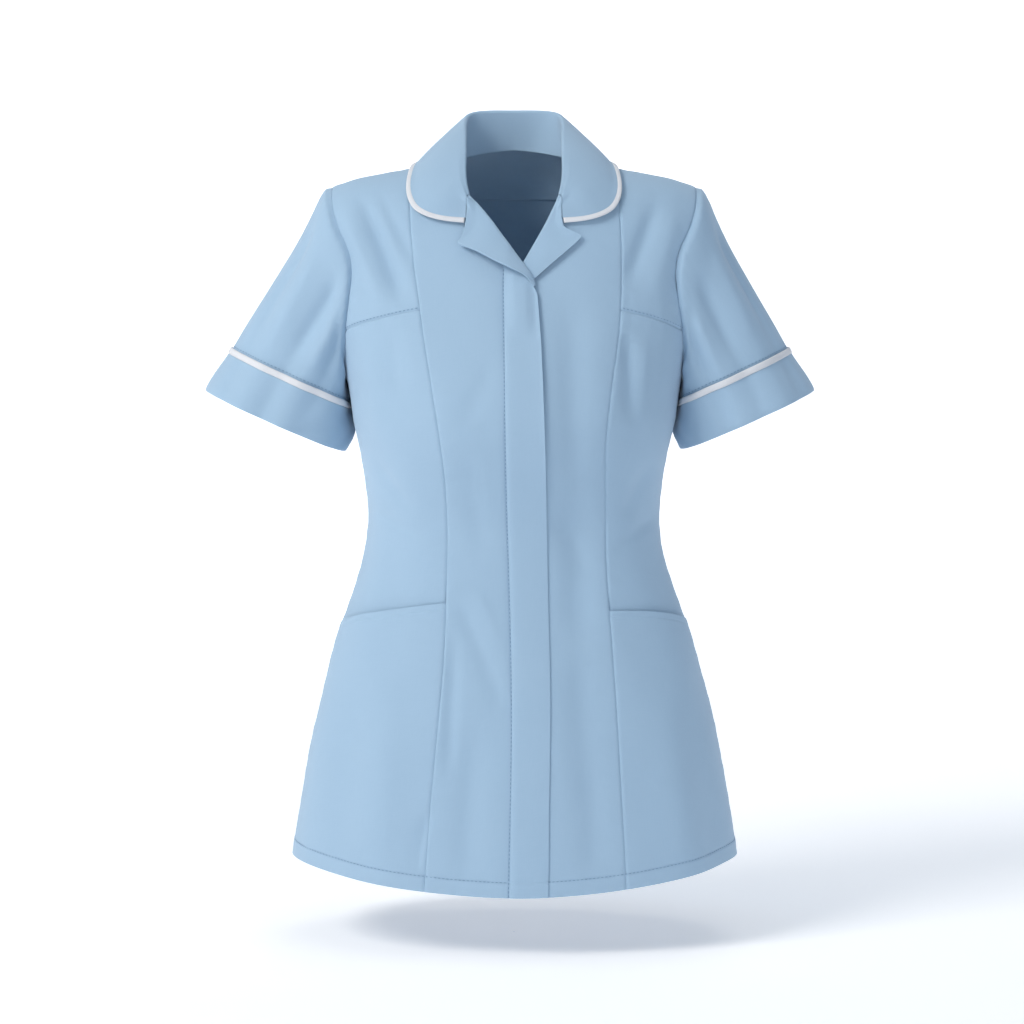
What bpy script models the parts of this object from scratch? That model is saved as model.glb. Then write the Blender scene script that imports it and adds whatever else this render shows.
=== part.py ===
"""Zip-front tunic with a revere collar, short cuffed sleeves and hip pockets, filled out as worn.

Metres, +Z up, the front faces -Y and +X is the viewer's right. The origin lies inside the shoulders,
level with the neck points. Every cloth piece is a wall laid on one torso form or one sleeve form.
"""
import functools
import math

import bmesh
import bpy
import numpy as np
from mathutils import Matrix, Vector
from mathutils.bvhtree import BVHTree

CLOTH = 0.0015
GAP = 0.0003
LAP = CLOTH + GAP
SEAM = GAP / 2

# The torso form: half width and the depths in front of and behind the side seams at each height.
TORSO = np.array([
    # height, half_width, front_depth, back_depth
    (-0.760, 0.2240, 0.139, 0.147),
    (-0.700, 0.2215, 0.134, 0.144),
    (-0.640, 0.2130, 0.128, 0.139),
    (-0.580, 0.2025, 0.120, 0.132),
    (-0.520, 0.1880, 0.111, 0.123),
    (-0.470, 0.1740, 0.104, 0.111),
    (-0.430, 0.1590, 0.100, 0.098),
    (-0.390, 0.1475, 0.098, 0.087),
    (-0.358, 0.1440, 0.100, 0.083),
    (-0.320, 0.1470, 0.111, 0.090),
    (-0.290, 0.1520, 0.121, 0.099),
    (-0.260, 0.1585, 0.126, 0.107),
    (-0.235, 0.1620, 0.124, 0.111),
    (-0.200, 0.1690, 0.116, 0.115),
    (-0.170, 0.1760, 0.106, 0.116),
    (-0.140, 0.1820, 0.095, 0.114),
    (-0.104, 0.1900, 0.083, 0.110),
    (-0.070, 0.2030, 0.073, 0.106),
    (-0.040, 0.2180, 0.064, 0.103),
    (-0.010, 0.2320, 0.056, 0.100),
    (0.030, 0.2450, 0.050, 0.098),
])
SECTION_POWER = 2.3
# The ridge of the shoulders. Its inner end, over the neck hole, only shapes the cloth around the hole.
RIDGE = np.array([
    # distance_from_centre, height
    (0.000, 0.0260), (0.020, 0.0227), (0.038, 0.0153), (0.052, 0.0080), (0.062, 0.0030),
    (0.080, -0.0060), (0.102, -0.0115), (0.137, -0.0170), (0.160, -0.0220), (0.180, -0.0300),
    (0.200, -0.0400), (0.226, -0.0600),
])
SHOULDER_ROUNDING = 0.055

NECK_POINT = 0.062
SHOULDER_SEAM = 0.102
SHOULDER_TIP = 0.180
NECK_FRONT = np.array([
    # height, distance_from_centre
    (-0.0410, 0.0465), (-0.0300, 0.0510), (-0.0180, 0.0555), (-0.0060, 0.0595), (0.0030, 0.0620),
])
NECK_BACK = np.array([
    # distance_from_centre, height
    (0.000, 0.0145), (0.020, 0.0125), (0.038, 0.0090), (0.052, 0.0055), (0.060, 0.0035), (0.062, 0.0030),
])
# Front seams at each height. Minus x is the viewer's left.
PRINCESS = {
    "L": np.array([
        # height, x
        (-0.720, -0.0895), (-0.676, -0.0850), (-0.637, -0.0820), (-0.591, -0.0775), (-0.538, -0.0725),
        (-0.485, -0.0680), (-0.434, -0.0660), (-0.390, -0.0650), (-0.343, -0.0652), (-0.314, -0.0668),
        (-0.273, -0.0717), (-0.227, -0.0789), (-0.175, -0.0873), (-0.146, -0.0916), (-0.091, -0.0990),
        (-0.050, -0.1015), (0.000, -0.1025),
    ]),
    "R": np.array([
        # height, x
        (-0.720, 0.1090), (-0.676, 0.1073), (-0.637, 0.1055), (-0.591, 0.1030), (-0.538, 0.0998),
        (-0.485, 0.0960), (-0.434, 0.0920), (-0.390, 0.0898), (-0.343, 0.0886), (-0.314, 0.0880),
        (-0.273, 0.0885), (-0.227, 0.0935), (-0.175, 0.1010), (-0.146, 0.1035), (-0.091, 0.1045),
        (-0.050, 0.1030), (0.000, 0.1025),
    ]),
}
BACK_PRINCESS = np.array([
    # height, distance_from_centre
    (-0.720, 0.0960), (-0.600, 0.0860), (-0.470, 0.0720), (-0.358, 0.0640), (-0.260, 0.0720),
    (-0.170, 0.0860), (-0.080, 0.0970), (0.000, 0.1025),
])
# The fly: the stitched edge and the free edge that hides the zip, which lies midway.
FLY = np.array([
    # height, stitched_x, free_x
    (-0.720, -0.0068, 0.0319), (-0.622, -0.0048, 0.0338), (-0.527, -0.0039, 0.0349),
    (-0.431, -0.0058, 0.0330), (-0.333, -0.0087, 0.0309), (-0.236, -0.0105, 0.0278),
    (-0.178, -0.0111, 0.0254), (-0.132, -0.0116, 0.0222), (-0.060, -0.0116, 0.0200),
])
FLY_TOP = -0.090
ZIP_EDGE = 0.0031
# The fold of each lapel as seen from the front, from the collar down to where the fronts cross.
ROLL = {
    "L": np.array([
        # height, x
        (-0.1360, 0.0222), (-0.1208, 0.0184), (-0.1060, 0.0083), (-0.0792, -0.0107),
        (-0.0607, -0.0243), (-0.0412, -0.0409), (-0.0200, -0.0590),
    ]),
    "R": np.array([
        # height, x
        (-0.1300, -0.0054), (-0.1060, 0.0083), (-0.0660, 0.0311), (-0.0426, 0.0428), (-0.0200, 0.0560),
    ]),
}
ROLL_INSET = 0.0042
BREAK = -0.136

HEM_SIDE = -0.693
HEM_DIP = 0.0235
HEM_CENTRE_X = 0.004
CHEST_SEAM = (-0.150, -0.170)
POCKET_MOUTH = {
    # height at the princess seam, height at the side seam, bow
    "L": (-0.434, -0.466, 0.002),
    "R": (-0.4425, -0.4645, 0.005),
}
MOUTH_LAP = 0.002
MOUTH_RAMP = 0.020

# The armhole is an ellipse seen from the side, laid on the torso form.
ARMHOLE_MIDDLE = -0.1225
ARMHOLE_HALF = 0.0925
ARMHOLE_FRONT = 0.0525
ARMHOLE_BACK = 0.0600
CUFFS = {
    # outer_corner_x, outer_corner_z, inner_corner_x, inner_corner_z
    "L": (-0.3050, -0.232, -0.1728, -0.291),
    "R": (0.2970, -0.232, 0.1705, -0.289),
}
CUFF_HALF_DEPTH = 0.055
CUFF_BACK_SET = 0.012
CUFF_LENGTH = 0.050
PIPING_WIDTH = 0.0066
PIPING_THICK = 0.0024
CAP_BULGE = 0.0065
CAP_REACH = 0.012
SLEEVE_LIFT = CLOTH + GAP + CLOTH / 2 + GAP
SLEEVE_SIDES = 32
SLEEVE_ROWS = [0.0, 0.06, 0.14, 0.26, 0.42, 0.62, 0.82, 1.0]

FOLD_RADIUS = 0.0022
LAPEL_FOLD_RADIUS = 0.0016
COLLAR = np.array([
    # fold_x, fold_y, fold_z, edge_x, edge_y, edge_z, one row for each station from the gorge to the back
    (0.0435, -0.0665, -0.0385, 0.0478, -0.0755, -0.0660),
    (0.0460, -0.0630, -0.0290, 0.0690, -0.0745, -0.0636),
    (0.0476, -0.0578, -0.0205, 0.0860, -0.0720, -0.0590),
    (0.0484, -0.0512, -0.0125, 0.0980, -0.0660, -0.0520),
    (0.0488, -0.0430, -0.0035, 0.1040, -0.0570, -0.0415),
    (0.0492, -0.0325, 0.0060, 0.1056, -0.0465, -0.0305),
    (0.0496, -0.0185, 0.0160, 0.1040, -0.0310, -0.0195),
    (0.0500, -0.0020, 0.0255, 0.1010, -0.0110, -0.0090),
    (0.0503, 0.0165, 0.0350, 0.0950, 0.0120, -0.0060),
    (0.0480, 0.0370, 0.0435, 0.0810, 0.0360, -0.0050),
    (0.0390, 0.0490, 0.0480, 0.0600, 0.0600, -0.0040),
    (0.0220, 0.0545, 0.0495, 0.0320, 0.0810, -0.0020),
    (0.0000, 0.0560, 0.0495, 0.0000, 0.0890, -0.0005),
])
COLLAR_PIPING = 0.0056
LEAF_BOW = 0.004
LEAF_CLEAR = CLOTH * 3 / 2 + 0.0026
NECK_EDGE_CLEAR = LEAF_CLEAR + 0.0020
LAPELS = {
    # roll_z, edge_x, edge_z, edge_height, bend, one row for each station from the gorge to the break
    "L": np.array([
        (-0.0412, -0.0482, -0.0672, 0.0050, 0.0),
        (-0.0490, -0.0500, -0.0790, 0.0050, 0.0045),
        (-0.0580, -0.0534, -0.0874, 0.0050, 0.0040),
        (-0.0680, -0.0373, -0.0952, 0.0065, 0.0015),
        (-0.0800, -0.0174, -0.1068, 0.0080, 0.0),
        (-0.0960, -0.0024, -0.1141, 0.0085, 0.0),
        (-0.1130, 0.0100, -0.1195, 0.0080, 0.0),
        (-0.1250, 0.0164, -0.1275, 0.0072, 0.0),
    ]),
    "R": np.array([
        (-0.0412, 0.0478, -0.0670, 0.0050, 0.0),
        (-0.0500, 0.0492, -0.0708, 0.0050, 0.0050),
        (-0.0590, 0.0575, -0.0752, 0.0055, 0.0070),
        (-0.0680, 0.0645, -0.0795, 0.0060, 0.0066),
        (-0.0750, 0.0605, -0.0850, 0.0060, 0.0044),
        (-0.0810, 0.0500, -0.0945, 0.0060, 0.0018),
        (-0.0870, 0.0395, -0.1035, 0.0058, 0.0006),
        (-0.0945, 0.0295, -0.1122, 0.0056, 0.0),
        (-0.1022, 0.0208, -0.1192, 0.0054, 0.0),
    ]),
}
# A lapel's corner reaches past its gorge, so its sections bend round the notch.
LAPEL_BEND_WAY = (-0.7, 0.0, -0.7)
LAPEL_CLEAR = CLOTH * 3 / 2 + GAP

COLLAR_FACING = (-80, 90)
SHOULDER_GRID = (96, 90)
SHOULDER_REACH = 0.170
SHOULDER_FALL = 0.115
COLLAR_SET_IN = 0.0026
NECK_BACK_STATIONS = [0.0565, 0.0470, 0.0350, 0.0190, 0.0]
COLLAR_STEPS = 16
STAND_STEPS = 2
FOLD_STEPS = 4
LEAF_STEPS = 5
PIPING_HALF = 0.0026
GORGE_GAP = 0.0011
PIPING_SHORT = 0.0014
LAPEL_SET_IN = 0.0011
LAPEL_STEPS = 12

ZIP_TOP = -0.1225
SLIDER_LENGTH = 0.0100
SLIDER_WIDTH = 0.0090
PLATE = 0.0006
CHANNEL_UNDER = -0.0020
CHANNEL_OVER = 0.0018
POST_WIDTH = 0.0030
POST_LENGTH = 0.0022
ARCH_WIDTH = 0.0016
ARCH_LENGTH = 0.0074
ARCH_FOOT = 0.0010
ARCH_HEIGHT = 0.0018
CHAIN_WIDTH = 0.0056
CHAIN_THICK = 0.0018
CHAIN_LIFT = -0.0012
TAPE_WIDTH = 0.0110
TAPE_THICK = 0.0010
TAB_LENGTH = 0.0200
TAB_WIDTH = 0.0050
TAB_THICK = 0.0006
TAB_BAR = 0.0007
TAB_EYE = 0.0026
TAB_EYE_LENGTH = 0.0052
TAB_TIP_LENGTH = 0.0030
TAB_TIP_WIDTH = 0.0030
ZIP_HEM = 0.004
TAPE_TOP = ZIP_TOP + 0.001
CHAIN_TOP = ZIP_TOP - 0.0032
TAPE_LIFT = -TAPE_THICK - 2 * GAP
FLY_LIFT = CLOTH + 2 * GAP
FLY_INSET_FADE = 0.014
FLY_SEAM_X = -0.016
FLY_SEAM_FADE = 0.008
BUMP_HEIGHT = 0.0030
BUMP_HALF = 0.0140
BUMP_LENGTH = 0.060
BUMP_FADE = 0.030

# Rows. A drop is measured down from the shoulder ridge, and the other rows are heights.
SHOULDER_DROPS = [0.0, 0.0015, 0.006, 0.013, 0.023, 0.037, 0.056, 0.081, 0.110]
CHEST_ROWS = [CHEST_SEAM[0], -0.168, -0.188, -0.210, -0.240, -0.272, -0.305, -0.340, -0.375]
HIP_ROWS = [-0.480, -0.530, -0.580, -0.630, HEM_SIDE]
EDGE_ROWS = [0.003, 0.0005, -0.0045, -0.0125, -0.0225, -0.0325, -0.0445, -0.062, -0.083, -0.107, -0.131,
             -0.158, -0.188, -0.222, -0.260, -0.298, -0.336, -0.375]
SIDE_ROWS = [-0.245, -0.275, -0.305, -0.340, -0.375]
BACK_WAIST_ROWS = [-0.420, -0.462]
SIDE_HIP_ROWS = [-0.500, -0.540, -0.585, -0.632, HEM_SIDE]
BACK_ROWS = [-0.150, -0.168, -0.188, -0.210, -0.240, -0.272, -0.305, -0.340, -0.375, -0.410, -0.440, -0.480,
             -0.530, -0.580, -0.630, HEM_SIDE]
FLY_BUMP_ROWS = [FLY_TOP, -0.098, -0.107, -0.119, -0.131, -0.145, -0.158, -0.172, -0.188]
FLY_ROWS = np.array(FLY_BUMP_ROWS + EDGE_ROWS[13:] + [-0.418, -0.436] + HIP_ROWS)
ZIP_ROWS = np.array(EDGE_ROWS[11:] + [-0.418, -0.436] + HIP_ROWS)
CAP_ANGLES = np.radians([0, 14, 28, 42, 56, 70, 84, 98, 110])
CHEST_ANGLE = math.acos((CHEST_SEAM[1] - ARMHOLE_MIDDLE) / ARMHOLE_HALF)
UNDERARM_ANGLES = np.array([CHEST_ANGLE, math.radians(137), math.radians(154), math.pi])
STRAIGHT_ABOVE = -0.05
FRONT_COLUMNS = 6
SIDE_COLUMNS = 7
SIDE_BACK_COLUMNS = 9
FLY_COLUMNS = 7
BACK_COLUMNS = np.concatenate([np.linspace(-SHOULDER_SEAM, -NECK_POINT, 4)[:-1],
                               NECK_POINT * np.sin(np.linspace(-math.pi / 2, math.pi / 2, 9)),
                               np.linspace(NECK_POINT, SHOULDER_SEAM, 4)[1:]])
FACING_COLUMNS = slice(3, 12)
FACING_ROWS = slice(1, 5)
NECK_CURVE_DROP = 0.05
BACK_FAN_DROP = 0.14
CLOTH_COLOUR = (0.40, 0.55, 0.72)
METAL_COLOUR = (0.72, 0.74, 0.78)

for item in list(bpy.data.objects):
    bpy.data.objects.remove(item, do_unlink=True)
tunic = bpy.data.collections.new("zip_front_tunic")
bpy.context.scene.collection.children.link(tunic)


def through(xs, ys, x):
    """A smooth curve through table points: a cubic whose slopes come from the neighbouring points."""
    xs, ys = np.asarray(xs), np.asarray(ys)
    slopes = np.gradient(ys, xs)
    x = np.clip(x, xs[0], xs[-1])
    i = np.clip(np.searchsorted(xs, x) - 1, 0, len(xs) - 2)
    span = xs[i + 1] - xs[i]
    t = (x - xs[i]) / span
    rise = (3 - 2 * t) * t * t
    ease_in = t * (1 - t) ** 2 * span * slopes[i]
    ease_out = -t * t * (1 - t) * span * slopes[i + 1]
    return ys[i] + (ys[i + 1] - ys[i]) * rise + ease_in + ease_out


def unit(vector):
    return vector / np.linalg.norm(vector, axis=-1, keepdims=True)


def smoothstep(t):
    t = np.clip(t, 0, 1)
    return t * t * (3 - 2 * t)


def half_width(z):
    return through(TORSO[:, 0], TORSO[:, 1], z)


def depth(z, back):
    return np.where(back, through(TORSO[:, 0], TORSO[:, 3], z), through(TORSO[:, 0], TORSO[:, 2], z))


def ridge(x):
    return through(RIDGE[:, 0], RIDGE[:, 1], np.abs(x))


def rounding(x, z):
    """How far the torso's depth has opened below the shoulder ridge, from 0 on it to 1."""
    fall = np.clip((ridge(x) - z) / SHOULDER_ROUNDING, 0, 1)
    return np.sqrt(1 - (1 - fall) ** 2)


def torso(turn, z):
    """A point of the torso form. turn runs from 0 at the front to 90 degrees at +X and 180 at the back."""
    side, face = np.sin(turn), np.cos(turn)
    x = half_width(z) * np.sign(side) * np.abs(side) ** (2 / SECTION_POWER)
    reach = depth(z, face < 0) * np.abs(face) ** (2 / SECTION_POWER)
    y = -np.sign(face) * reach * rounding(x, z)
    return np.stack([x, y, z + 0 * x], axis=-1)


def turn_at(x, z, back=False):
    """The turn whose point at this height lies x from the middle."""
    turn = np.arcsin(np.clip(np.abs(x) / half_width(z), 0, 1) ** (SECTION_POWER / 2))
    return np.sign(x) * (math.pi - turn) if back else np.sign(x) * turn


def outward(turn, z):
    """The torso form's outward normal."""
    step = 1e-5
    across = torso(turn + step, z) - torso(turn - step, z)
    down = torso(turn, z - step) - torso(turn, z)
    return unit(np.cross(down, across))


def off_torso(turn, z, height):
    return torso(turn, z) + outward(turn, z) * np.asarray(height)[..., None]


def front_point(x, z, height):
    """A point over the front, from where it shows in the front view and its height off the form."""
    x, z = np.asarray(x, float), np.asarray(z, float)
    return off_torso(turn_at(x, z), z, height + 0 * x)


def add_object(name, mesh, colour, roughness, metallic=0.0):
    material = bpy.data.materials.new(name)
    material.use_nodes = True
    finish = material.node_tree.nodes["Principled BSDF"]
    finish.inputs["Base Color"].default_value = (*colour, 1)
    finish.inputs["Roughness"].default_value = roughness
    finish.inputs["Metallic"].default_value = metallic
    mesh.materials.append(material)
    thing = bpy.data.objects.new(name, mesh)
    tunic.objects.link(thing)
    return thing


def loft(name, outer, inner, round_shape, colour=CLOTH_COLOUR, roughness=0.85):
    """A cloth wall between an outer and an inner grid of points, or a ring of them when round_shape."""
    rows, columns = outer.shape[:2]
    shape = bmesh.new()
    skins = [[[shape.verts.new(point) for point in row] for row in grid] for grid in (outer, inner)]
    last = columns if round_shape else columns - 1
    for row in range(rows - 1):
        for column in range(last):
            after = (column + 1) % columns
            for skin, forward in zip(skins, (True, False)):
                near, below = skin[row][column], skin[row + 1][column]
                across, beside = skin[row + 1][after], skin[row][after]
                for corners in ((near, below, across), (near, across, beside)):
                    shape.faces.new(corners if forward else corners[::-1])
    rims = [[(0, column) for column in range(columns)], [(rows - 1, column) for column in range(columns)]]
    if round_shape:
        rims = [rim + rim[:1] for rim in rims]
    else:
        rims += [[(row, 0) for row in range(rows)], [(row, columns - 1) for row in range(rows)]]
    for rim in rims:
        for (row_a, column_a), (row_b, column_b) in zip(rim, rim[1:]):
            shape.faces.new([skins[0][row_a][column_a], skins[0][row_b][column_b],
                             skins[1][row_b][column_b], skins[1][row_a][column_a]])
    bmesh.ops.recalc_face_normals(shape, faces=shape.faces)
    mesh = bpy.data.meshes.new(name)
    shape.to_mesh(mesh)
    shape.free()
    mesh.shade_smooth()
    return add_object(name, mesh, colour, roughness)


def pull_in(grid, sides=(True, True, True, True)):
    """Shifts that draw a grid's top, bottom, first and last edges in by half a seam gap."""
    shift = np.zeros_like(grid)
    top, bottom, first, last = sides
    if top:
        shift[0] += unit(grid[1] - grid[0]) * SEAM
    if bottom:
        shift[-1] += unit(grid[-2] - grid[-1]) * SEAM
    if first:
        shift[:, 0] += unit(grid[:, 1] - grid[:, 0]) * SEAM
    if last:
        shift[:, -1] += unit(grid[:, -2] - grid[:, -1]) * SEAM
    return shift


def panel(name, turns, heights, lift=0.0, thick=CLOTH):
    """A wall on the torso form. lift is how far its inner face stands off the form."""
    shift = pull_in(torso(turns, heights))
    lift = np.broadcast_to(lift, turns.shape)
    outer = off_torso(turns, heights, lift + thick) + shift
    inner = off_torso(turns, heights, lift) + shift
    return loft(name, outer, inner, False)


def ruled(first, last, columns, bow=None):
    """Columns between two seams, each a list of turns and a list of heights."""
    across = np.linspace(0, 1, columns)[None, :]
    turns = first[0][:, None] * (1 - across) + last[0][:, None] * across
    heights = first[1][:, None] * (1 - across) + last[1][:, None] * across
    if bow is not None:
        heights = heights + bow[:, None] * 4 * across * (1 - across)
    return turns, heights


def hem(x):
    return HEM_SIDE - HEM_DIP * (1 - (np.abs(x - HEM_CENTRE_X) / half_width(HEM_SIDE)) ** 1.8)


def hang_to_hem(turns, heights):
    """Puts the bottom row on the hem line."""
    heights[-1] = hem(torso(turns[-1], heights[-1])[:, 0])
    return turns, heights


def princess_x(side, z):
    return through(PRINCESS[side][:, 0], PRINCESS[side][:, 1], z)


def fly_x(z, column):
    return through(FLY[:, 0], FLY[:, column], z)


def zip_x(z):
    return (fly_x(z, 1) + fly_x(z, 2)) / 2


def roll_x(side, z):
    return through(ROLL[side][:, 0], ROLL[side][:, 1], z)


def inner_edge(side, z):
    """The neck edge, lapel fold and zip edge of a front, in that order down the body."""
    sign = -1 if side == "L" else 1
    if z > NECK_FRONT[0, 0]:
        return sign * through(NECK_FRONT[:, 0], NECK_FRONT[:, 1], z)
    fold = roll_x(side, z) + sign * ROLL_INSET
    closed = zip_x(z) + sign * ZIP_EDGE
    return min(fold, closed) if side == "L" else max(fold, closed)


def fly_edge(z):
    """The fly's free edge, or under the lapel the fold that it shares with it."""
    inset = ROLL_INSET * smoothstep((z - BREAK) / FLY_INSET_FADE)
    return fly_x(z, 2) if z <= BREAK else min(roll_x("L", z) - inset, fly_x(z, 2))


def mouth_rows(side, at):
    """The rows where a side front steps in behind the pocket, and the pocket's top edge."""
    level = POCKET_MOUTH[side][at]
    return [level + MOUTH_RAMP, level + MOUTH_LAP, level]


def princess_rows(side):
    sign = -1 if side == "L" else 1
    top = float(ridge(SHOULDER_SEAM))
    z = np.array([top - drop for drop in SHOULDER_DROPS] + CHEST_ROWS + mouth_rows(side, 0) + HIP_ROWS)
    x = np.where(z > STRAIGHT_ABOVE, sign * SHOULDER_SEAM, princess_x(side, z))
    return x, z


@functools.lru_cache(maxsize=None)
def armhole(angle, sign):
    """Turn and height on the armhole. Its angle runs from the shoulder over the front to the underarm."""
    z = ARMHOLE_MIDDLE + ARMHOLE_HALF * math.cos(angle)
    side = math.sin(angle)
    want = abs(side) * (ARMHOLE_FRONT if side > 0 else ARMHOLE_BACK)
    low, high = 0.10, float(half_width(z))
    for _ in range(40):
        x = (low + high) / 2
        reach = depth(z, side < 0) * (1 - (x / half_width(z)) ** SECTION_POWER) ** (1 / SECTION_POWER)
        if reach * rounding(x, z) > want:
            low = x
        else:
            high = x
    return float(turn_at(sign * low, z, side < 0)), z


def armhole_rows(angles, sign):
    rows = [armhole(angle, sign) for angle in angles]
    return np.array([row[0] for row in rows], float), np.array([row[1] for row in rows], float)


for side, sign in (("L", -1), ("R", 1)):
    x, z = princess_rows(side)
    edge_z = np.array(EDGE_ROWS + list(z[len(EDGE_ROWS):]))
    edge_x = np.array([inner_edge(side, height) for height in edge_z])
    seam = (turn_at(x, z), z)
    front_edge = (turn_at(edge_x, edge_z), edge_z)
    name = {"L": "front_overlap", "R": "front_underlap"}[side]
    panel(name, *hang_to_hem(*ruled(seam, front_edge, FRONT_COLUMNS)))

    chest_row = len(SHOULDER_DROPS)
    top_seam = (seam[0][:chest_row + 1], z[:chest_row + 1])
    cap = armhole_rows([*CAP_ANGLES, CHEST_ANGLE], sign)
    turns, heights = ruled(top_seam, cap, FRONT_COLUMNS)
    across = np.linspace(SHOULDER_SEAM, SHOULDER_TIP, FRONT_COLUMNS)
    heights[0] = ridge(across)
    turns[0] = turn_at(sign * across, heights[0])
    panel(f"chest_yoke_{side}", turns, heights)

    low_seam = (seam[0][chest_row:], z[chest_row:])
    arm = armhole_rows(UNDERARM_ANGLES, sign)
    side_z = np.array(SIDE_ROWS + mouth_rows(side, 1) + SIDE_HIP_ROWS)
    outer_seam = (np.concatenate([arm[0], sign * np.full(len(side_z), math.pi / 2)]),
                  np.concatenate([arm[1], side_z]))
    mouth = len(outer_seam[1]) - len(SIDE_HIP_ROWS) - 1
    bow = np.zeros(len(outer_seam[1]))
    bow[mouth - 2:mouth + 1] = POCKET_MOUTH[side][2]
    turns, heights = hang_to_hem(*ruled(low_seam, outer_seam, SIDE_COLUMNS, bow))
    lift = np.zeros(turns.shape)
    lift[mouth - 1:] = -LAP
    panel(f"side_front_{side}", turns, heights, lift)
    panel(f"pocket_{side}", turns[mouth:], heights[mouth:])

    back_arm = armhole_rows(-np.concatenate([CAP_ANGLES, UNDERARM_ANGLES]), sign)
    back_arm[0][0] = sign * math.pi - turn_at(sign * SHOULDER_TIP, back_arm[1][0])
    back_arm[0][-1] = sign * math.pi / 2
    back_side_z = np.array(SIDE_ROWS + BACK_WAIST_ROWS + SIDE_HIP_ROWS)
    back_side = (np.concatenate([back_arm[0], sign * np.full(len(back_side_z), math.pi / 2)]),
                 np.concatenate([back_arm[1], back_side_z]))
    back_z = np.concatenate([float(ridge(SHOULDER_SEAM)) - np.array(SHOULDER_DROPS), np.array(BACK_ROWS)])
    back_x = through(BACK_PRINCESS[:, 0], BACK_PRINCESS[:, 1], back_z)
    back_x = np.where(back_z > STRAIGHT_ABOVE, SHOULDER_SEAM, back_x)
    back_seam = (turn_at(sign * back_x, back_z, True), back_z)
    turns, heights = ruled(back_seam, back_side, SIDE_BACK_COLUMNS)
    across = np.linspace(SHOULDER_SEAM, SHOULDER_TIP, SIDE_BACK_COLUMNS)
    heights[0] = ridge(across)
    turns[0] = turn_at(sign * across, heights[0], True)
    panel(f"side_back_{side}", *hang_to_hem(turns, heights))


def neck_back(x):
    return through(NECK_BACK[:, 0], NECK_BACK[:, 1], np.abs(x))


def back_centre():
    """The centre back between its two seams, cut out at the neck."""
    top = np.where(np.abs(BACK_COLUMNS) < NECK_POINT, neck_back(BACK_COLUMNS), ridge(BACK_COLUMNS))
    top_bearing = turn_at(BACK_COLUMNS, top)
    seam_bearing = turn_at(back_x, back_z)
    drop = (back_z[0] - back_z)[:, None]
    curved = np.clip(1 - drop / NECK_CURVE_DROP, 0, 1)
    fanned = np.clip(1 - drop / BACK_FAN_DROP, 0, 1)
    evenly = np.linspace(-1, 1, len(top))[None, :]
    share = fanned * (top_bearing / top_bearing[-1])[None, :] + (1 - fanned) * evenly
    heights = back_z[:, None] + curved * (top - top[0])[None, :]
    turns, heights = hang_to_hem(math.pi - share * seam_bearing[:, None], heights)
    panel("back_centre", turns, heights)
    panel("back_facing", turns[FACING_ROWS, FACING_COLUMNS], heights[FACING_ROWS, FACING_COLUMNS], -LAP)


back_centre()


def fly_lift(x, z):
    """The fly stands off further over the slider and its pull tab."""
    across = smoothstep((BUMP_HALF - np.abs(x - zip_x(z))) / (BUMP_HALF - SLIDER_WIDTH / 2))
    above = smoothstep((FLY_TOP - z) / (FLY_TOP - ZIP_TOP))
    below = smoothstep((z - (ZIP_TOP - BUMP_LENGTH)) / BUMP_FADE)
    return FLY_LIFT + BUMP_HEIGHT * across * above * below


fly_left = fly_x(FLY_ROWS, 1)
fly_right = np.array([fly_edge(z) for z in FLY_ROWS])
fly_grid_x = fly_left[:, None] + (fly_right - fly_left)[:, None] * np.linspace(0, 1, FLY_COLUMNS)[None, :]
fly_turns, fly_heights = hang_to_hem(turn_at(fly_grid_x, FLY_ROWS[:, None]),
                                     np.repeat(FLY_ROWS[:, None], FLY_COLUMNS, axis=1))
panel("fly", fly_turns, fly_heights, fly_lift(fly_grid_x, fly_heights))

# The zip: two tapes behind the fronts' edges, the closed chain between them, the slider and its tab.


def zip_strip(name, first, last, top, lift, thick, colour, roughness):
    """A strip down the zip line, from first to last metres right of it."""
    z = np.repeat(np.concatenate([[top], ZIP_ROWS])[:, None], 2, axis=1)
    x = zip_x(z) + np.array([[first, last]])
    turns, heights = hang_to_hem(turn_at(x, z), z)
    heights[-1] += ZIP_HEM
    outer = off_torso(turns, heights, lift + thick)
    return loft(name, outer, off_torso(turns, heights, lift), False, colour, roughness)


for side, sign in (("L", -1), ("R", 1)):
    near, far = sorted((sign * ZIP_EDGE, sign * (ZIP_EDGE + TAPE_WIDTH)))
    zip_strip(f"zip_tape_{side}", near, far, TAPE_TOP, TAPE_LIFT, TAPE_THICK, (0.42, 0.57, 0.74), 0.8)
zip_strip("zip_chain", -CHAIN_WIDTH / 2, CHAIN_WIDTH / 2, CHAIN_TOP, CHAIN_LIFT, CHAIN_THICK,
          (0.75, 0.80, 0.86), 0.4)
SLIDER_MIDDLE = ZIP_TOP - SLIDER_LENGTH / 2


def box(size, centre):
    """A plain block in the slider's own frame, where z runs up the zip and -y points outwards."""
    bpy.ops.mesh.primitive_cube_add(size=1)
    block = bpy.context.object
    block.data.transform(Matrix.Translation(centre) @ Matrix.Diagonal((*size, 1)))
    return block


slider_point = front_point(zip_x(SLIDER_MIDDLE), SLIDER_MIDDLE, 0.0)
slider_normal = outward(turn_at(zip_x(SLIDER_MIDDLE), SLIDER_MIDDLE), SLIDER_MIDDLE)
SLIDER_TILT = -math.atan2(slider_normal[2], -slider_normal[1])
ON_ZIP = Matrix.Translation(slider_point.tolist()) @ Matrix.Rotation(SLIDER_TILT, 4, "X")


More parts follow.
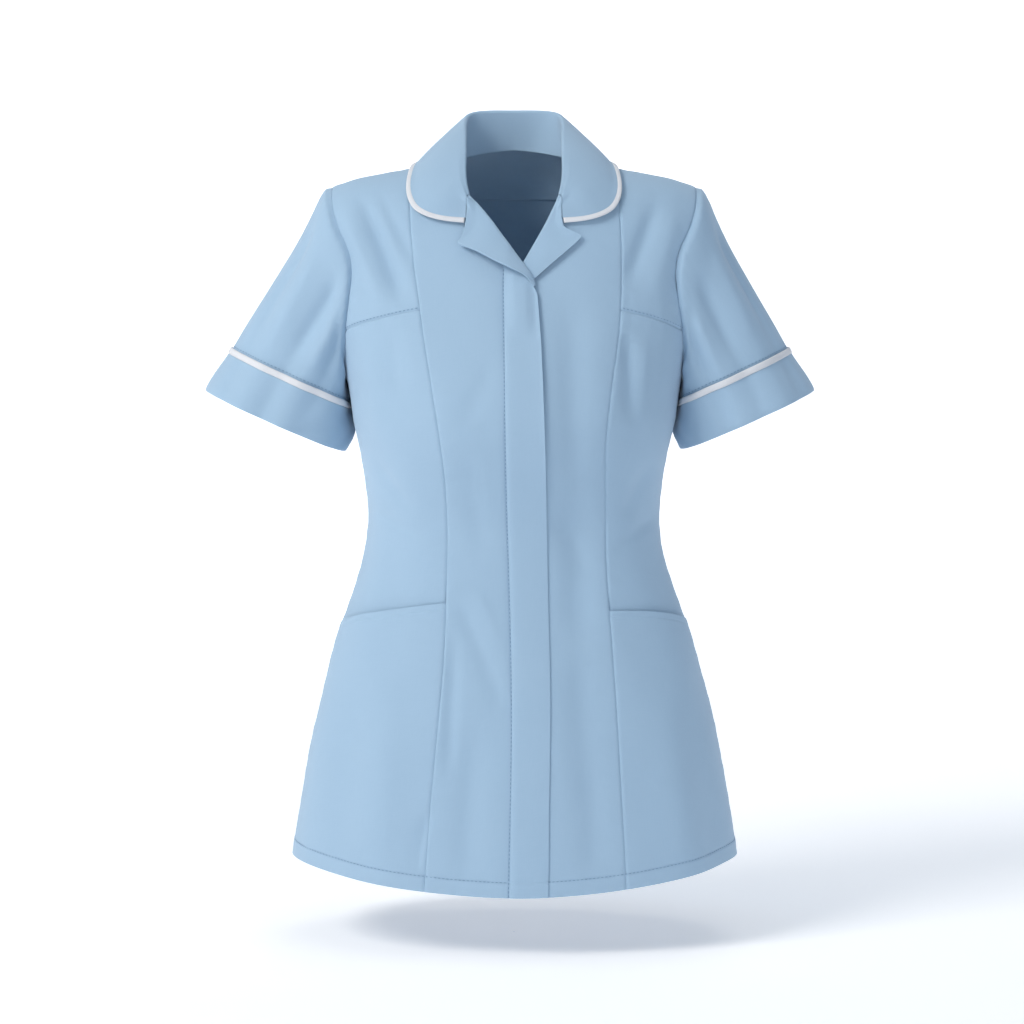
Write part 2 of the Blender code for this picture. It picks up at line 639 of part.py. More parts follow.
def slider():
    """Two plates round the chain, joined by a post between the tapes, with an arch for the tab."""
    under, over = CHANNEL_UNDER, CHANNEL_OVER
    plate = (SLIDER_WIDTH, PLATE, SLIDER_LENGTH)
    pieces = [
        (plate, (0, -(under - PLATE / 2), 0)),
        (plate, (0, -(over + PLATE / 2), 0)),
        ((POST_WIDTH, over - under + PLATE, POST_LENGTH),
         (0, -(over + under) / 2, SLIDER_LENGTH / 2 - POST_LENGTH / 2)),
    ]
    foot = (ARCH_WIDTH, ARCH_HEIGHT + PLATE / 2, ARCH_FOOT)
    foot_y = -(over + PLATE / 2 + foot[1] / 2)
    for end in (-1, 1):
        pieces.append((foot, (0, foot_y, end * (ARCH_LENGTH - ARCH_FOOT) / 2)))
    pieces.append(((ARCH_WIDTH, PLATE, ARCH_LENGTH), (0, -(over + PLATE / 2 + ARCH_HEIGHT), 0)))
    blocks = [box(size, centre) for size, centre in pieces]
    body = blocks[0]
    for block in blocks[1:]:
        union = body.modifiers.new("join", "BOOLEAN")
        union.operation = "UNION"
        union.object = block
    whole = bpy.data.meshes.new_from_object(body.evaluated_get(bpy.context.evaluated_depsgraph_get()))
    for block in blocks:
        bpy.data.objects.remove(block, do_unlink=True)
    add_object("zip_slider", whole, METAL_COLOUR, 0.35, 0.9).matrix_world = ON_ZIP


slider()


def pull_tab():
    """A flat tab whose top bar passes under the arch, with an eye round the arch's lower foot."""
    outline = bpy.data.curves.new("zip_pull", "CURVE")
    outline.dimensions = "2D"
    outline.fill_mode = "BOTH"
    outline.extrude = TAB_THICK / 2
    half, bar = TAB_WIDTH / 2, TAB_BAR / 2
    rings = [
        [(-half, bar), (half, bar), (half, TAB_TIP_LENGTH - TAB_LENGTH), (TAB_TIP_WIDTH / 2, -TAB_LENGTH),
         (-TAB_TIP_WIDTH / 2, -TAB_LENGTH), (-half, TAB_TIP_LENGTH - TAB_LENGTH)],
        [(-TAB_EYE / 2, -bar), (-TAB_EYE / 2, -TAB_EYE_LENGTH), (TAB_EYE / 2, -TAB_EYE_LENGTH),
         (TAB_EYE / 2, -bar)],
    ]
    for ring in rings:
        spline = outline.splines.new("POLY")
        spline.points.add(len(ring) - 1)
        spline.use_cyclic_u = True
        for point, (x, y) in zip(spline.points, ring):
            point.co = (x, y, 0, 1)
    sketch = bpy.data.objects.new("zip_pull_outline", outline)
    tunic.objects.link(sketch)
    flat = bpy.data.meshes.new_from_object(sketch.evaluated_get(bpy.context.evaluated_depsgraph_get()))
    bpy.data.objects.remove(sketch, do_unlink=True)
    shape = bmesh.new()
    shape.from_mesh(flat)
    bmesh.ops.remove_doubles(shape, verts=shape.verts, dist=1e-6)
    bmesh.ops.recalc_face_normals(shape, faces=shape.faces)
    shape.to_mesh(flat)
    shape.free()
    height = CHANNEL_OVER + PLATE + (ARCH_HEIGHT - PLATE) / 2
    hinge = ON_ZIP @ Matrix.Translation((0, -height, 0)) @ Matrix.Rotation(math.pi / 2, 4, "X")
    add_object("zip_pull", flat, METAL_COLOUR, 0.35, 0.9).matrix_world = hinge


pull_tab()


def folded(start, crest, edge, along, facing, radius, bow=0.0):
    """One section of cloth that turns over at a crest: a stretch up to it, a round fold and a leaf."""
    out = unit(facing - along * (facing @ along))
    up = np.cross(out, along)
    if up @ (crest - (start + edge) / 2) < 0:
        up = -up
    centre = crest - up * radius

    def leave(point, branch):
        across, rise = (point - centre) @ out, (point - centre) @ up
        reach = math.hypot(across, rise)
        return branch * math.acos(-min(radius / reach, 1)) - math.atan2(rise, across)

    first, last = leave(start, -1), leave(edge, 1)
    first = (first + math.pi) % (2 * math.pi) - math.pi
    last = last % (2 * math.pi)
    turns = np.linspace(first, last, FOLD_STEPS + 1)
    arc = [centre + radius * (up * math.sin(turn) - out * math.cos(turn)) for turn in turns]
    stand = [start + (arc[0] - start) * t for t in np.linspace(0, 1, STAND_STEPS + 1)[:-1]]
    swell = up * math.sin(last) - out * math.cos(last)
    leaf = [arc[-1] + (edge - arc[-1]) * t + swell * bow * 4 * t * (1 - t)
            for t in np.linspace(0, 1, LEAF_STEPS + 1)[1:]]
    return np.array(stand + arc + leaf)


def thicken(name, grid, copied=slice(0)):
    """A cloth wall on both sides of a grid. In copied columns the first row leans as the second does."""
    half_wall = unit(np.cross(np.gradient(grid, axis=0), np.gradient(grid, axis=1))) * CLOTH / 2
    half_wall[0, copied] = half_wall[1, copied]
    grid = grid + pull_in(grid, (True, True, False, False))
    return loft(name, grid + half_wall, grid - half_wall, False)


def neck_stations():
    """The middle of the cloth at the neck edge, drawn into the neck hole, from the gorge to the back."""
    height = np.linspace(NECK_FRONT[0, 0], NECK_FRONT[-1, 0], 8)
    front_x = through(NECK_FRONT[:, 0], NECK_FRONT[:, 1], height)
    across = np.array(NECK_BACK_STATIONS)
    turns = np.concatenate([turn_at(front_x, height), turn_at(across, neck_back(across), True)])
    heights = np.concatenate([height, neck_back(across)])
    turns[-1] = math.pi
    points = off_torso(turns, heights, CLOTH / 2)
    normals = outward(turns, heights)
    along = unit(np.gradient(points, axis=0))
    inward = unit(np.cross(normals, along))
    inward *= np.sign(-np.sum(inward * points * np.array([1, 1, 0]), axis=1))[:, None]
    return points + inward * COLLAR_SET_IN


def shoulders():
    """The torso form from the chest over the shoulder ridge to the back, as a surface to measure from."""
    rows, columns = SHOULDER_GRID
    over = np.linspace(-1, 1, rows)[:, None]
    x = np.linspace(-SHOULDER_REACH, SHOULDER_REACH, columns)[None, :] + 0 * over
    z = ridge(x) - SHOULDER_FALL * over ** 2
    grid = torso(np.where(over > 0, turn_at(x, z, True), turn_at(x, z)), z)
    faces = [(row * columns + column, row * columns + column + 1,
              (row + 1) * columns + column + 1, (row + 1) * columns + column)
             for row in range(rows - 1) for column in range(columns - 1)]
    return BVHTree.FromPolygons(grid.reshape(-1, 3).tolist(), faces)


STATIONS = np.arange(len(COLLAR))
NECK = neck_stations()
SHOULDERS = shoulders()


def at_station(points, station):
    return np.stack([through(STATIONS, points[:, axis], station) for axis in range(3)], axis=-1)


def collar_section(station):
    """A section of the collar on the +X side up to its piping, and the piping's outer edge."""
    crest = at_station(COLLAR[:, :3], station)
    along = unit(at_station(COLLAR[:, :3], min(station + 0.05, STATIONS[-1]))
                 - at_station(COLLAR[:, :3], max(station - 0.05, 0)))
    if station == STATIONS[-1]:
        along = np.array([-1.0, 0.0, 0.0])
    bearing = math.radians(np.interp(station, [0, STATIONS[-1]], COLLAR_FACING))
    facing = np.array([math.cos(bearing), math.sin(bearing), 0])
    edge = at_station(COLLAR[:, 3:], station)
    inner = crest + (edge - crest) * (1 - COLLAR_PIPING / np.linalg.norm(edge - crest))
    bow = LEAF_BOW * smoothstep(station / 2)
    section = folded(at_station(NECK, station), crest, inner, along, facing, FOLD_RADIUS, bow)
    leaf = slice(STAND_STEPS + FOLD_STEPS + 1, None)
    section[leaf] = lay_on_torso(section[leaf], LEAF_CLEAR)
    over_neck_edge = slice(leaf.start, leaf.start + 1)
    section[over_neck_edge] = lay_on_torso(section[over_neck_edge], NECK_EDGE_CLEAR)
    return section, lay_on_torso([edge], LEAF_CLEAR)[0]


def lay_on_torso(points, clear):
    """Moves points that lie too near the torso form straight out from it."""
    laid = []
    for point in points:
        surface, normal, _, _ = SHOULDERS.find_nearest(point.tolist())
        rise = max(clear - (Vector(point) - surface).dot(normal), 0)
        laid.append(point + np.array(normal) * rise)
    return np.array(laid)


def mirrored(points):
    return points * np.array([-1, 1, 1])


collar_half = [collar_section(station) for station in np.linspace(0, STATIONS[-1], COLLAR_STEPS + 1)]
sections = [mirrored(section) for section, _ in collar_half] + [section for section, _ in collar_half[-2::-1]]
collar_grid = np.array(sections)
thicken("collar", collar_grid)

edges = [mirrored(edge) for _, edge in collar_half] + [edge for _, edge in collar_half[-2::-1]]


def flat_tube(name, middle, across, normal, closed):
    """Piping: a flattened tube along a path, with its width lying across the cloth's edge."""
    rings = []
    for turn in np.linspace(0, 2 * math.pi, 8, endpoint=False):
        rings.append(middle + across * (math.cos(turn) * PIPING_HALF)
                     + normal * (math.sin(turn) * PIPING_THICK / 2))
    grid = np.array(rings)
    shape = bmesh.new()
    verts = [[shape.verts.new(point) for point in ring] for ring in grid]
    count = len(middle)
    for ring in range(8):
        for step in range(count if closed else count - 1):
            after = (step + 1) % count
            shape.faces.new([verts[ring][step], verts[(ring + 1) % 8][step],
                             verts[(ring + 1) % 8][after], verts[ring][after]])
    if not closed:
        shape.faces.new([verts[ring][0] for ring in range(8)])
        shape.faces.new([verts[ring][-1] for ring in range(8)])
    bmesh.ops.recalc_face_normals(shape, faces=shape.faces)
    mesh = bpy.data.meshes.new(name)
    shape.to_mesh(mesh)
    shape.free()
    mesh.shade_smooth()
    return add_object(name, mesh, (0.88, 0.88, 0.90), 0.6)


leaf_ends = collar_grid[:, -1]
leaf_across = unit(np.array(edges) - leaf_ends)
leaf_along = np.gradient(np.array(edges), axis=0)
leaf_normal = unit(np.cross(leaf_along, leaf_across))
piping_path = leaf_ends + leaf_across * (GAP + PIPING_HALF)
piping_path[0] += unit(piping_path[1] - piping_path[0]) * PIPING_SHORT
piping_path[-1] += unit(piping_path[-2] - piping_path[-1]) * PIPING_SHORT
flat_tube("collar_piping", piping_path, leaf_across, leaf_normal, False)


def gorge(side):
    """The collar's end section, run on to the outer edge of its piping, with the seam's gap."""
    at, beside = (0, 1) if side == "L" else (-1, -2)
    turned = STAND_STEPS + FOLD_STEPS
    lines = [np.vstack([collar_grid[i][turned:], edges[i]]) for i in (at, beside)]
    shares = np.linspace(0, len(lines[0]) - 1, LEAF_STEPS + 1)[1:]
    places = np.arange(len(lines[0]))
    leaves = [np.stack([np.interp(shares, places, line[:, axis]) for axis in range(3)], axis=-1)
              for line in lines]
    end, before = [np.vstack([collar_grid[i][:turned + 1], leaf]) for i, leaf in zip((at, beside), leaves)]
    return end + unit(end - before) * GORGE_GAP


def lapel(side, sign):
    """A turned-back lapel, from the collar's end down to where the fronts cross."""
    table = LAPELS[side]
    rows = np.linspace(0, len(table) - 1, LAPEL_STEPS + 1)
    roll_z, edge_x, edge_z, edge_height, bend = [through(np.arange(len(table)), table[:, k], rows)
                                                 for k in range(5)]
    fold_x = roll_x(side, roll_z)
    under = np.full(len(rows), CLOTH / 2)
    if side == "L":
        below = np.array([fly_edge(z) if z < FLY_TOP else inner_edge("L", z) for z in roll_z])
        under += smoothstep((below - FLY_SEAM_X) / FLY_SEAM_FADE) * fly_lift(below, roll_z)
    crests = front_point(fold_x, roll_z, under + LAPEL_FOLD_RADIUS)
    edge = front_point(edge_x, edge_z, edge_height)
    facing = outward(turn_at(fold_x, roll_z), roll_z)
    along = unit(np.gradient(crests, axis=0))
    away = unit(np.cross(along, facing)) * sign
    away *= np.sign(away[:, :1] * sign)
    start = front_point(fold_x, roll_z, under) + away * (ROLL_INSET - LAPEL_SET_IN) * np.abs(away[:, :1])
    leaf = slice(STAND_STEPS + FOLD_STEPS + 1, None)
    share = np.linspace(0, 1, LEAF_STEPS + 1)[1:, None]
    bend_way = np.array(LAPEL_BEND_WAY) * np.array([sign, 1, 1])
    grid = []
    for i in range(len(rows)):
        section = folded(start[i], crests[i], edge[i], along[i], facing[i], LAPEL_FOLD_RADIUS)
        section[leaf] += bend_way * bend[i] * 4 * share * (1 - share)
        section[leaf] = lay_on_torso(section[leaf], LAPEL_CLEAR)
        grid.append(section)
    grid[0] = gorge(side)
    thicken(f"lapel_{side}", np.array(grid), leaf)


lapel("L", -1)
lapel("R", 1)


def hermite(start, end, leaving, arriving, t):
    rise = (3 - 2 * t) * t * t
    return (start + (end - start) * rise + leaving * (t * (1 - t) ** 2) - arriving * (t * t * (1 - t)))


def sleeve_form(side, sign, angle, along):
    """A point of a sleeve's middle surface: angle runs from the top over the front, along to the hem."""
    turn, height = armhole(angle, sign)
    start = off_torso(np.array(turn), np.array(height), SLEEVE_LIFT)
    outer_x, outer_z, inner_x, inner_z = CUFFS[side]
    middle = np.array([(outer_x + inner_x) / 2, CUFF_BACK_SET, (outer_z + inner_z) / 2])
    half = np.array([(outer_x - inner_x) / 2, 0, (outer_z - inner_z) / 2])
    axis = unit(np.array([half[2] * sign, 0, -abs(half[0])]))
    end = middle + half * math.cos(angle) + np.array([0, -CUFF_HALF_DEPTH * math.sin(angle), 0])
    chord = end - start
    reach = np.linalg.norm(chord)
    point = hermite(start, end, chord, axis * reach, along)
    out = unit(half) * math.cos(angle) + np.array([0, -math.sin(angle), 0])
    walked = along * reach / CAP_REACH
    return point + out * CAP_BULGE * (1 + math.cos(angle)) / 2 * walked * math.exp(1 - walked), reach


def sleeve_grid(side, sign, stops, height):
    """Points round and along a sleeve, height off its middle surface. stops gives each line's positions."""
    angles = np.linspace(0, 2 * math.pi, SLEEVE_SIDES, endpoint=False)
    step = 1e-4
    rows = []
    for angle in angles:
        reach = sleeve_form(side, sign, angle, 0.0)[1]
        line = []
        for along in stops(reach):
            point = sleeve_form(side, sign, angle, along)[0]
            onward = sleeve_form(side, sign, angle, along + step)[0] - point
            round_it = sleeve_form(side, sign, angle + step, along)[0] - point
            normal = unit(np.cross(round_it, onward)) * sign
            line.append(point + normal * height)
        rows.append(line)
    return np.array(rows).transpose(1, 0, 2)


def cuff_stops(reach):
    return np.linspace(1 - (CUFF_LENGTH - PIPING_WIDTH - GAP) / reach, 1, 3)


def sleeve_stops(reach):
    cuff = 1 - CUFF_LENGTH / reach
    return np.concatenate([cuff * np.array(SLEEVE_ROWS), cuff_stops(reach)])


def piping_stop(reach):
    return [1 - (CUFF_LENGTH - PIPING_WIDTH / 2) / reach]


for side, sign in (("L", -1), ("R", 1)):
    half_wall = CLOTH / 2
    loft(f"sleeve_{side}", sleeve_grid(side, sign, sleeve_stops, half_wall),
         sleeve_grid(side, sign, sleeve_stops, -half_wall), True)
    cuff_lift = half_wall + GAP
    loft(f"cuff_{side}", sleeve_grid(side, sign, cuff_stops, cuff_lift + CLOTH),
         sleeve_grid(side, sign, cuff_stops, cuff_lift), True)
    ring = sleeve_grid(side, sign, piping_stop, cuff_lift + PIPING_THICK / 2)[0]
    above = sleeve_grid(side, sign, lambda reach: [1 - CUFF_LENGTH / reach], cuff_lift + PIPING_THICK / 2)[0]
    outer_ring = sleeve_grid(side, sign, piping_stop, cuff_lift + PIPING_THICK)[0]
    flat_tube(f"cuff_piping_{side}", ring, unit(above - ring) * PIPING_WIDTH / 2 / PIPING_HALF,
              unit(outer_ring - ring), True)
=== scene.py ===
"""The zip-front tunic as it looks: fine cloth, folds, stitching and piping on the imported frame.

Metres, +Z up, the front faces -Y. After the cloth's finish and the studio, the sections follow the tunic
as it is sewn together.
"""
import math

import bmesh
import bpy
import numpy as np
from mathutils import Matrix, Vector
from mathutils.bvhtree import BVHTree


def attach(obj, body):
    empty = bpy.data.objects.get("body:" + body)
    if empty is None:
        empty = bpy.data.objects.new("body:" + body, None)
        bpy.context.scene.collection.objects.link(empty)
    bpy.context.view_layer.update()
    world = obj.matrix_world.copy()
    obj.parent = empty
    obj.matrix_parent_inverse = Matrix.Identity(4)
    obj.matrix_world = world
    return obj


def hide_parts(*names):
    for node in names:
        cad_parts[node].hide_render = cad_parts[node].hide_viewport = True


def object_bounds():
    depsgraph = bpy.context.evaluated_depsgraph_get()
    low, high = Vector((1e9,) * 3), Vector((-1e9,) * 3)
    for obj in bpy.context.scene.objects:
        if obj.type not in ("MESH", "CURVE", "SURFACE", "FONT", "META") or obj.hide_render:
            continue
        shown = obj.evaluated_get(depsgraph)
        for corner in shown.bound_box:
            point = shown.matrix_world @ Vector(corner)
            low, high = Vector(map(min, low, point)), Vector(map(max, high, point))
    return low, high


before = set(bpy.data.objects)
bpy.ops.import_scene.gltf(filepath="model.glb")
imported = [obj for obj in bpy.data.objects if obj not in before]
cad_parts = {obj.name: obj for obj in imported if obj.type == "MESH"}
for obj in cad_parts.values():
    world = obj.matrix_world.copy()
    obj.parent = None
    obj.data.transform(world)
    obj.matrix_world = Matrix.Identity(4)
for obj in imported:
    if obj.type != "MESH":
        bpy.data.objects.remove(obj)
cad_low, cad_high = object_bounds()

# The cloth: mid-weight polycotton twill in sky blue, a little paler along its raised threads.
# One finish serves every blue piece, and its pattern follows each piece's own flat map in metres.
TWILL_PITCH = 0.0007
CLOTH_BLUE = (0.340, 0.490, 0.645)
CLOTH_PALE = (0.375, 0.525, 0.675)


class Wire:
    """A value in a shader: arithmetic on it adds the Math nodes that work it out."""

    def __init__(self, finish, socket):
        self.finish, self.socket = finish, socket

    def math(self, operation, *others):
        made = self.finish.node("Math", {"operation": operation}, dict(enumerate((self, *others))))
        return made[0]

    def __add__(self, other):
        return self.math("ADD", other)

    def __sub__(self, other):
        return self.math("SUBTRACT", other)

    def __rsub__(self, other):
        return Wire(self.finish, other).math("SUBTRACT", self)

    def __mul__(self, other):
        return self.math("MULTIPLY", other)

    def __truediv__(self, other):
        return self.math("DIVIDE", other)

    __radd__ = __add__
    __rmul__ = __mul__


class Finish:
    """A material and the one method that adds a node to it."""

    def __init__(self, name):
        self.material = bpy.data.materials.new(name)
        self.material.use_nodes = True
        self.tree = self.material.node_tree
        self.skin = self.tree.nodes["Principled BSDF"]

    def node(self, kind, settings=None, sockets=None):
        made = self.tree.nodes.new("ShaderNode" + kind)
        for key, value in (settings or {}).items():
            setattr(made, key, value)
        self.feed(made, sockets or {})
        return [Wire(self, socket) for socket in made.outputs]

    def dressed(self, sockets):
        self.feed(self.skin, sockets)
        return self.material

    def feed(self, made, sockets):
        for key, value in sockets.items():
            value = value.socket if isinstance(value, Wire) else value
            if isinstance(value, bpy.types.NodeSocket):
                self.tree.links.new(value, made.inputs[key])
            else:
                made.inputs[key].default_value = value


def mix_colour(finish, share, low, high):
    return finish.node("Mix", {"data_type": "RGBA"}, {0: share, 6: (*low, 1), 7: (*high, 1)})[2]


def noise(finish, place, scale, detail):
    return finish.node("TexNoise", {}, {"Vector": place, "Scale": scale, "Detail": detail})[0]


def relief(finish, height, strength, distance=0.0002):
    sockets = {"Height": height, "Strength": strength, "Distance": distance}
    return finish.node("Bump", {}, sockets)[0]


def woven(name, dark, pale, pitch, roughness, depth):
    """A twill finish: slanting ribs, yarns of uneven thickness and a slight drift of shade."""
    finish = Finish(name)
    flat = finish.node("UVMap", {"uv_map": "flat"})[0]
    across, along, _ = finish.node("SeparateXYZ", {}, {0: flat})[:3]
    ribs = ((across + along * 0.6) * (2 * math.pi / pitch)).math("SINE")
    warp, weft = [noise(finish, finish.node("Mapping", {}, {0: flat, "Scale": scale})[0], 1.0, 2.0)
                  for scale in ((1800.0, 60.0, 1.0), (60.0, 1800.0, 1.0))]
    drift = noise(finish, flat, 9.0, 3.0)
    yarn = (warp + weft) * 0.5
    share = (ribs * 0.10 + (yarn - 0.5) * 1.6 + (drift - 0.5) * 0.5 + 0.5).math("MAXIMUM", 0.0)
    tone = mix_colour(finish, share.math("MINIMUM", 1.0), dark, pale)
    bump = relief(finish, ribs * 0.35 + (yarn - 0.5) * 1.2, depth)
    return finish.dressed({"Base Color": tone, "Roughness": roughness, "Normal": bump, "Sheen Weight": 0.25,
                           "Sheen Roughness": 0.5, "Specular IOR Level": 0.25})


CLOTH_FINISH = woven("sky_blue_twill", CLOTH_BLUE, CLOTH_PALE, TWILL_PITCH, 0.86, 0.45)

# The studio: a round pale floor that curves up into a low, softly glowing wall on all sides, a large soft
# light from the left and above, a weaker one from the right, and a pale surround. The camera stands at
# chest height, 3.2 m off.
SWEEP_Z = cad_low.z - 0.06
SWEEP_RADIUS = 4.6
SWEEP_ROUND = 1.0
SWEEP_TOP = 1.1
SWEEP_SIDES = 64
SWEEP_STEPS = 16
GLOW_FRONT = (0.04, 0.05, 0.06)
GLOW_BACK = (0.56, 0.56, 0.58)
GLOW_REACH = 4.0
LENS = 112.5
CAMERA_AWAY = 3.2
CAMERA_TARGET = (-0.002, 0, -0.352)
LOOK_DOWN = math.radians(4)


def placed(name, data):
    thing = bpy.data.objects.new(name, data)
    bpy.context.scene.collection.objects.link(thing)
    return thing


def mesh_object(name, points, faces, edges=()):
    mesh = bpy.data.meshes.new(name)
    mesh.from_pydata(points, edges, faces)
    mesh.update()
    return placed(name, mesh)


def studio_sweep():
    """The floor and wall, turned round the middle, glowing more towards the back."""
    flat_to = SWEEP_RADIUS - SWEEP_ROUND
    profile = [(0.001, SWEEP_Z), (flat_to, SWEEP_Z)]
    for turn in np.linspace(0, math.pi / 2, SWEEP_STEPS)[1:]:
        profile.append((flat_to + SWEEP_ROUND * math.sin(turn), SWEEP_Z + SWEEP_ROUND * (1 - math.cos(turn))))
    profile.append((SWEEP_RADIUS, SWEEP_TOP))
    bearings = np.linspace(0, 2 * math.pi, SWEEP_SIDES, endpoint=False)
    points = [(reach * math.cos(turn), reach * math.sin(turn), z)
              for reach, z in profile for turn in bearings]
    index = np.arange(len(points)).reshape(len(profile), SWEEP_SIDES)
    after = np.roll(index, -1, axis=1)
    faces = np.stack([index[:-1], after[:-1], after[1:], index[1:]], axis=-1).reshape(-1, 4).tolist()
    sweep = mesh_object("studio_sweep", points, faces)
    sweep.data.shade_smooth()
    paper = Finish("studio_paper")
    y = paper.node("SeparateXYZ", {}, {0: paper.node("TexCoord")[3]})[1]
    ramp = paper.node("MapRange", {"interpolation_type": "SMOOTHSTEP"},
                      {"Value": y, "From Min": -GLOW_REACH, "From Max": GLOW_REACH})[0]
    glow = mix_colour(paper, ramp, GLOW_FRONT, GLOW_BACK)
    sweep.data.materials.append(paper.dressed({
        "Base Color": (0.93, 0.93, 0.935, 1), "Roughness": 0.9, "Emission Strength": 1.0,
        "Emission Color": glow}))


def softbox(name, place, aim, size, power, colour):
    lamp = bpy.data.lights.new(name, "AREA")
    lamp.shape = "RECTANGLE"
    lamp.size, lamp.size_y = size
    lamp.energy = power
    lamp.color = colour
    holder = placed(name, lamp)
    holder.location = place
    holder.rotation_euler = (Vector(aim) - Vector(place)).to_track_quat("-Z", "Y").to_euler()


def studio():
    studio_sweep()
    middle = (0, 0, -0.35)
    softbox("key_light", (-2.3, -1.9, 2.0), middle, (1.4, 1.4), 86, (1.0, 0.97, 0.92))
    softbox("fill_light", (2.4, -2.4, 0.4), middle, (1.8, 1.8), 6, (0.85, 0.90, 1.0))
    softbox("top_light", (0.0, -0.6, 2.3), middle, (2.2, 1.6), 10, (1.0, 1.0, 1.0))
    softbox("back_light", (0.6, 1.6, 2.4), middle, (1.8, 1.2), 12, (1.0, 0.99, 0.97))
    surround = bpy.data.worlds.new("studio_surround")
    surround.use_nodes = True
    backdrop = surround.node_tree.nodes["Background"]
    backdrop.inputs["Color"].default_value = (0.58, 0.78, 1.0, 1)
    backdrop.inputs["Strength"].default_value = 0.24
    bpy.context.scene.world = surround
    lens = bpy.data.cameras.new("camera")
    lens.sensor_width = 36
    lens.lens = LENS
    camera = placed("camera", lens)
    towards = Vector((0, -math.cos(LOOK_DOWN), math.sin(LOOK_DOWN)))
    camera.location = Vector(CAMERA_TARGET) + towards * CAMERA_AWAY
    camera.rotation_euler = (-towards).to_track_quat("-Z", "Y").to_euler()
    bpy.context.scene.camera = camera
    bpy.context.scene.view_settings.view_transform = "Standard"


studio()

# The body panels: two fronts, two chest yokes, side fronts with patch pockets, side backs and a centre
# back, cut to one torso form and sewn together with plain seams that lie in shallow grooves.
CLOTH = 0.0015
WALL = 0.0009
LAP = 0.0018
LAP_AT_SIDE = 0.0011
MOUTH_GAPE = 0.0032
SEAM_GAP = 0.00004
GROOVE_WIDTH = 0.0032
GROOVE_DEPTH = 0.0010
PUCKER_HEIGHT = 0.00028
PUCKER_REACH = 0.011
PUCKER_WAVES = (430, 271)
HEM_PUCKER_WAVES = (520, 310)
HEM_PUCKER_REACH = 0.006
TURNING = 0.010
CUT_SHARE = 1.08
STEP = 0.0042
EDGE_STEPS = np.array([0.0005, 0.0011, 0.0019, 0.0030])
HEM_ROWS = np.linspace(0.0078, 0.0172, 13)
MOUTH_STITCH = 0.0060
STITCH_DENT = 0.0007
DENT_WIDTH = 0.0010
DOUBLE_CLOTH = 0.00035


def table(*rows):
    """Rows of lengths in millimetres, as metres."""
    return np.array(rows) / 1000


TORSO = table(
    # height, half_width, front_depth, back_depth
    (-760, 224, 139, 147), (-700, 221.5, 134, 144), (-640, 213, 128, 139), (-580, 202.5, 120, 132),
    (-520, 188, 111, 123), (-470, 174, 104, 111), (-430, 159, 100, 98), (-390, 147.5, 98, 87),
    (-358, 144, 100, 83), (-320, 147, 111, 90), (-290, 152, 121, 99), (-260, 158.5, 126, 107),
    (-235, 162, 124, 111), (-200, 169, 116, 115), (-170, 176, 106, 116), (-140, 182, 95, 114),
    (-104, 190, 83, 110), (-70, 203, 73, 106), (-40, 218, 64, 103), (-10, 232, 56, 100), (30, 245, 50, 98),
)
SECTION_POWER = 2.3
RIDGE = table(
    # distance_from_centre, height
    (0, 26), (20, 22.7), (38, 15.3), (52, 8), (62, 3), (80, -6), (102, -11.5), (137, -17), (160, -22),
    (180, -30), (200, -40), (226, -60),
)
SHOULDER_ROUNDING = 0.055
NECK_POINT = 0.062
SHOULDER_SEAM = 0.102
SHOULDER_TIP = 0.180
NECK_FRONT = table(
    # height, distance_from_centre
    (-41, 46.5), (-30, 51), (-18, 55.5), (-6, 59.5), (3, 62),
)
NECK_BACK = table(
    # distance_from_centre, height
    (0, 14.5), (20, 12.5), (38, 9), (52, 5.5), (60, 3.5), (62, 3),
)
PRINCESS = {
    # height, x
    "L": table(
        (-720, -89.5), (-676, -85), (-637, -82), (-591, -77.5), (-538, -72.5), (-485, -68), (-434, -66),
        (-390, -65), (-343, -65.2), (-314, -66.8), (-273, -71.7), (-227, -78.9), (-175, -87.3),
        (-146, -91.6), (-91, -99), (-50, -101.5), (0, -102.5),
    ),
    "R": table(
        (-720, 109), (-676, 107.3), (-637, 105.5), (-591, 103), (-538, 99.8), (-485, 96), (-434, 92),
        (-390, 89.8), (-343, 88.6), (-314, 88), (-273, 88.5), (-227, 93.5), (-175, 101), (-146, 103.5),
        (-91, 104.5), (-50, 103), (0, 102.5),
    ),
}
BACK_PRINCESS = table(
    # height, distance_from_centre
    (-720, 96), (-600, 86), (-470, 72), (-358, 64), (-260, 72), (-170, 86), (-80, 97), (0, 102.5),
)
FLY = table(
    # height, stitched_x, free_x
    (-720, -6.8, 31.9), (-622, -4.8, 33.8), (-527, -3.9, 34.9), (-431, -5.8, 33), (-333, -8.7, 30.9),
    (-236, -10.5, 27.8), (-178, -11.1, 25.4), (-132, -11.6, 22.2), (-60, -11.6, 20),
)
FLY_TOP = -0.090
ZIP_EDGE = 0.0031
ROLL = {
    # height, x
    "L": table(
        (-136, 22.2), (-120.8, 18.4), (-106, 8.3), (-79.2, -10.7), (-60.7, -24.3), (-41.2, -40.9),
        (-20, -59),
    ),
    "R": table(
        (-130, -5.4), (-106, 8.3), (-66, 31.1), (-42.6, 42.8), (-20, 56),
    ),
}
ROLL_INSET = 0.0042
BREAK = -0.136
HEM_SIDE = -0.693
HIP_LINE = -0.630
HEM_DIP = 0.0235
HEM_CENTRE_X = 0.004
HEM_TURNING = 0.0150
HEM_POWER = 1.8
CHEST_SEAM = (-0.150, -0.170)
TOPSTITCH_AWAY = 0.0020
TOPSTITCH_SHARE = 0.35
HEM_DENT_SHARE = 0.45
POCKET_MOUTH = {
    # height at the princess seam, height at the side seam, bow
    "L": (-0.434, -0.466, 0.002),
    "R": (-0.4425, -0.4645, 0.005),
}
MOUTH_LAP = 0.002
MOUTH_RAMP = 0.020
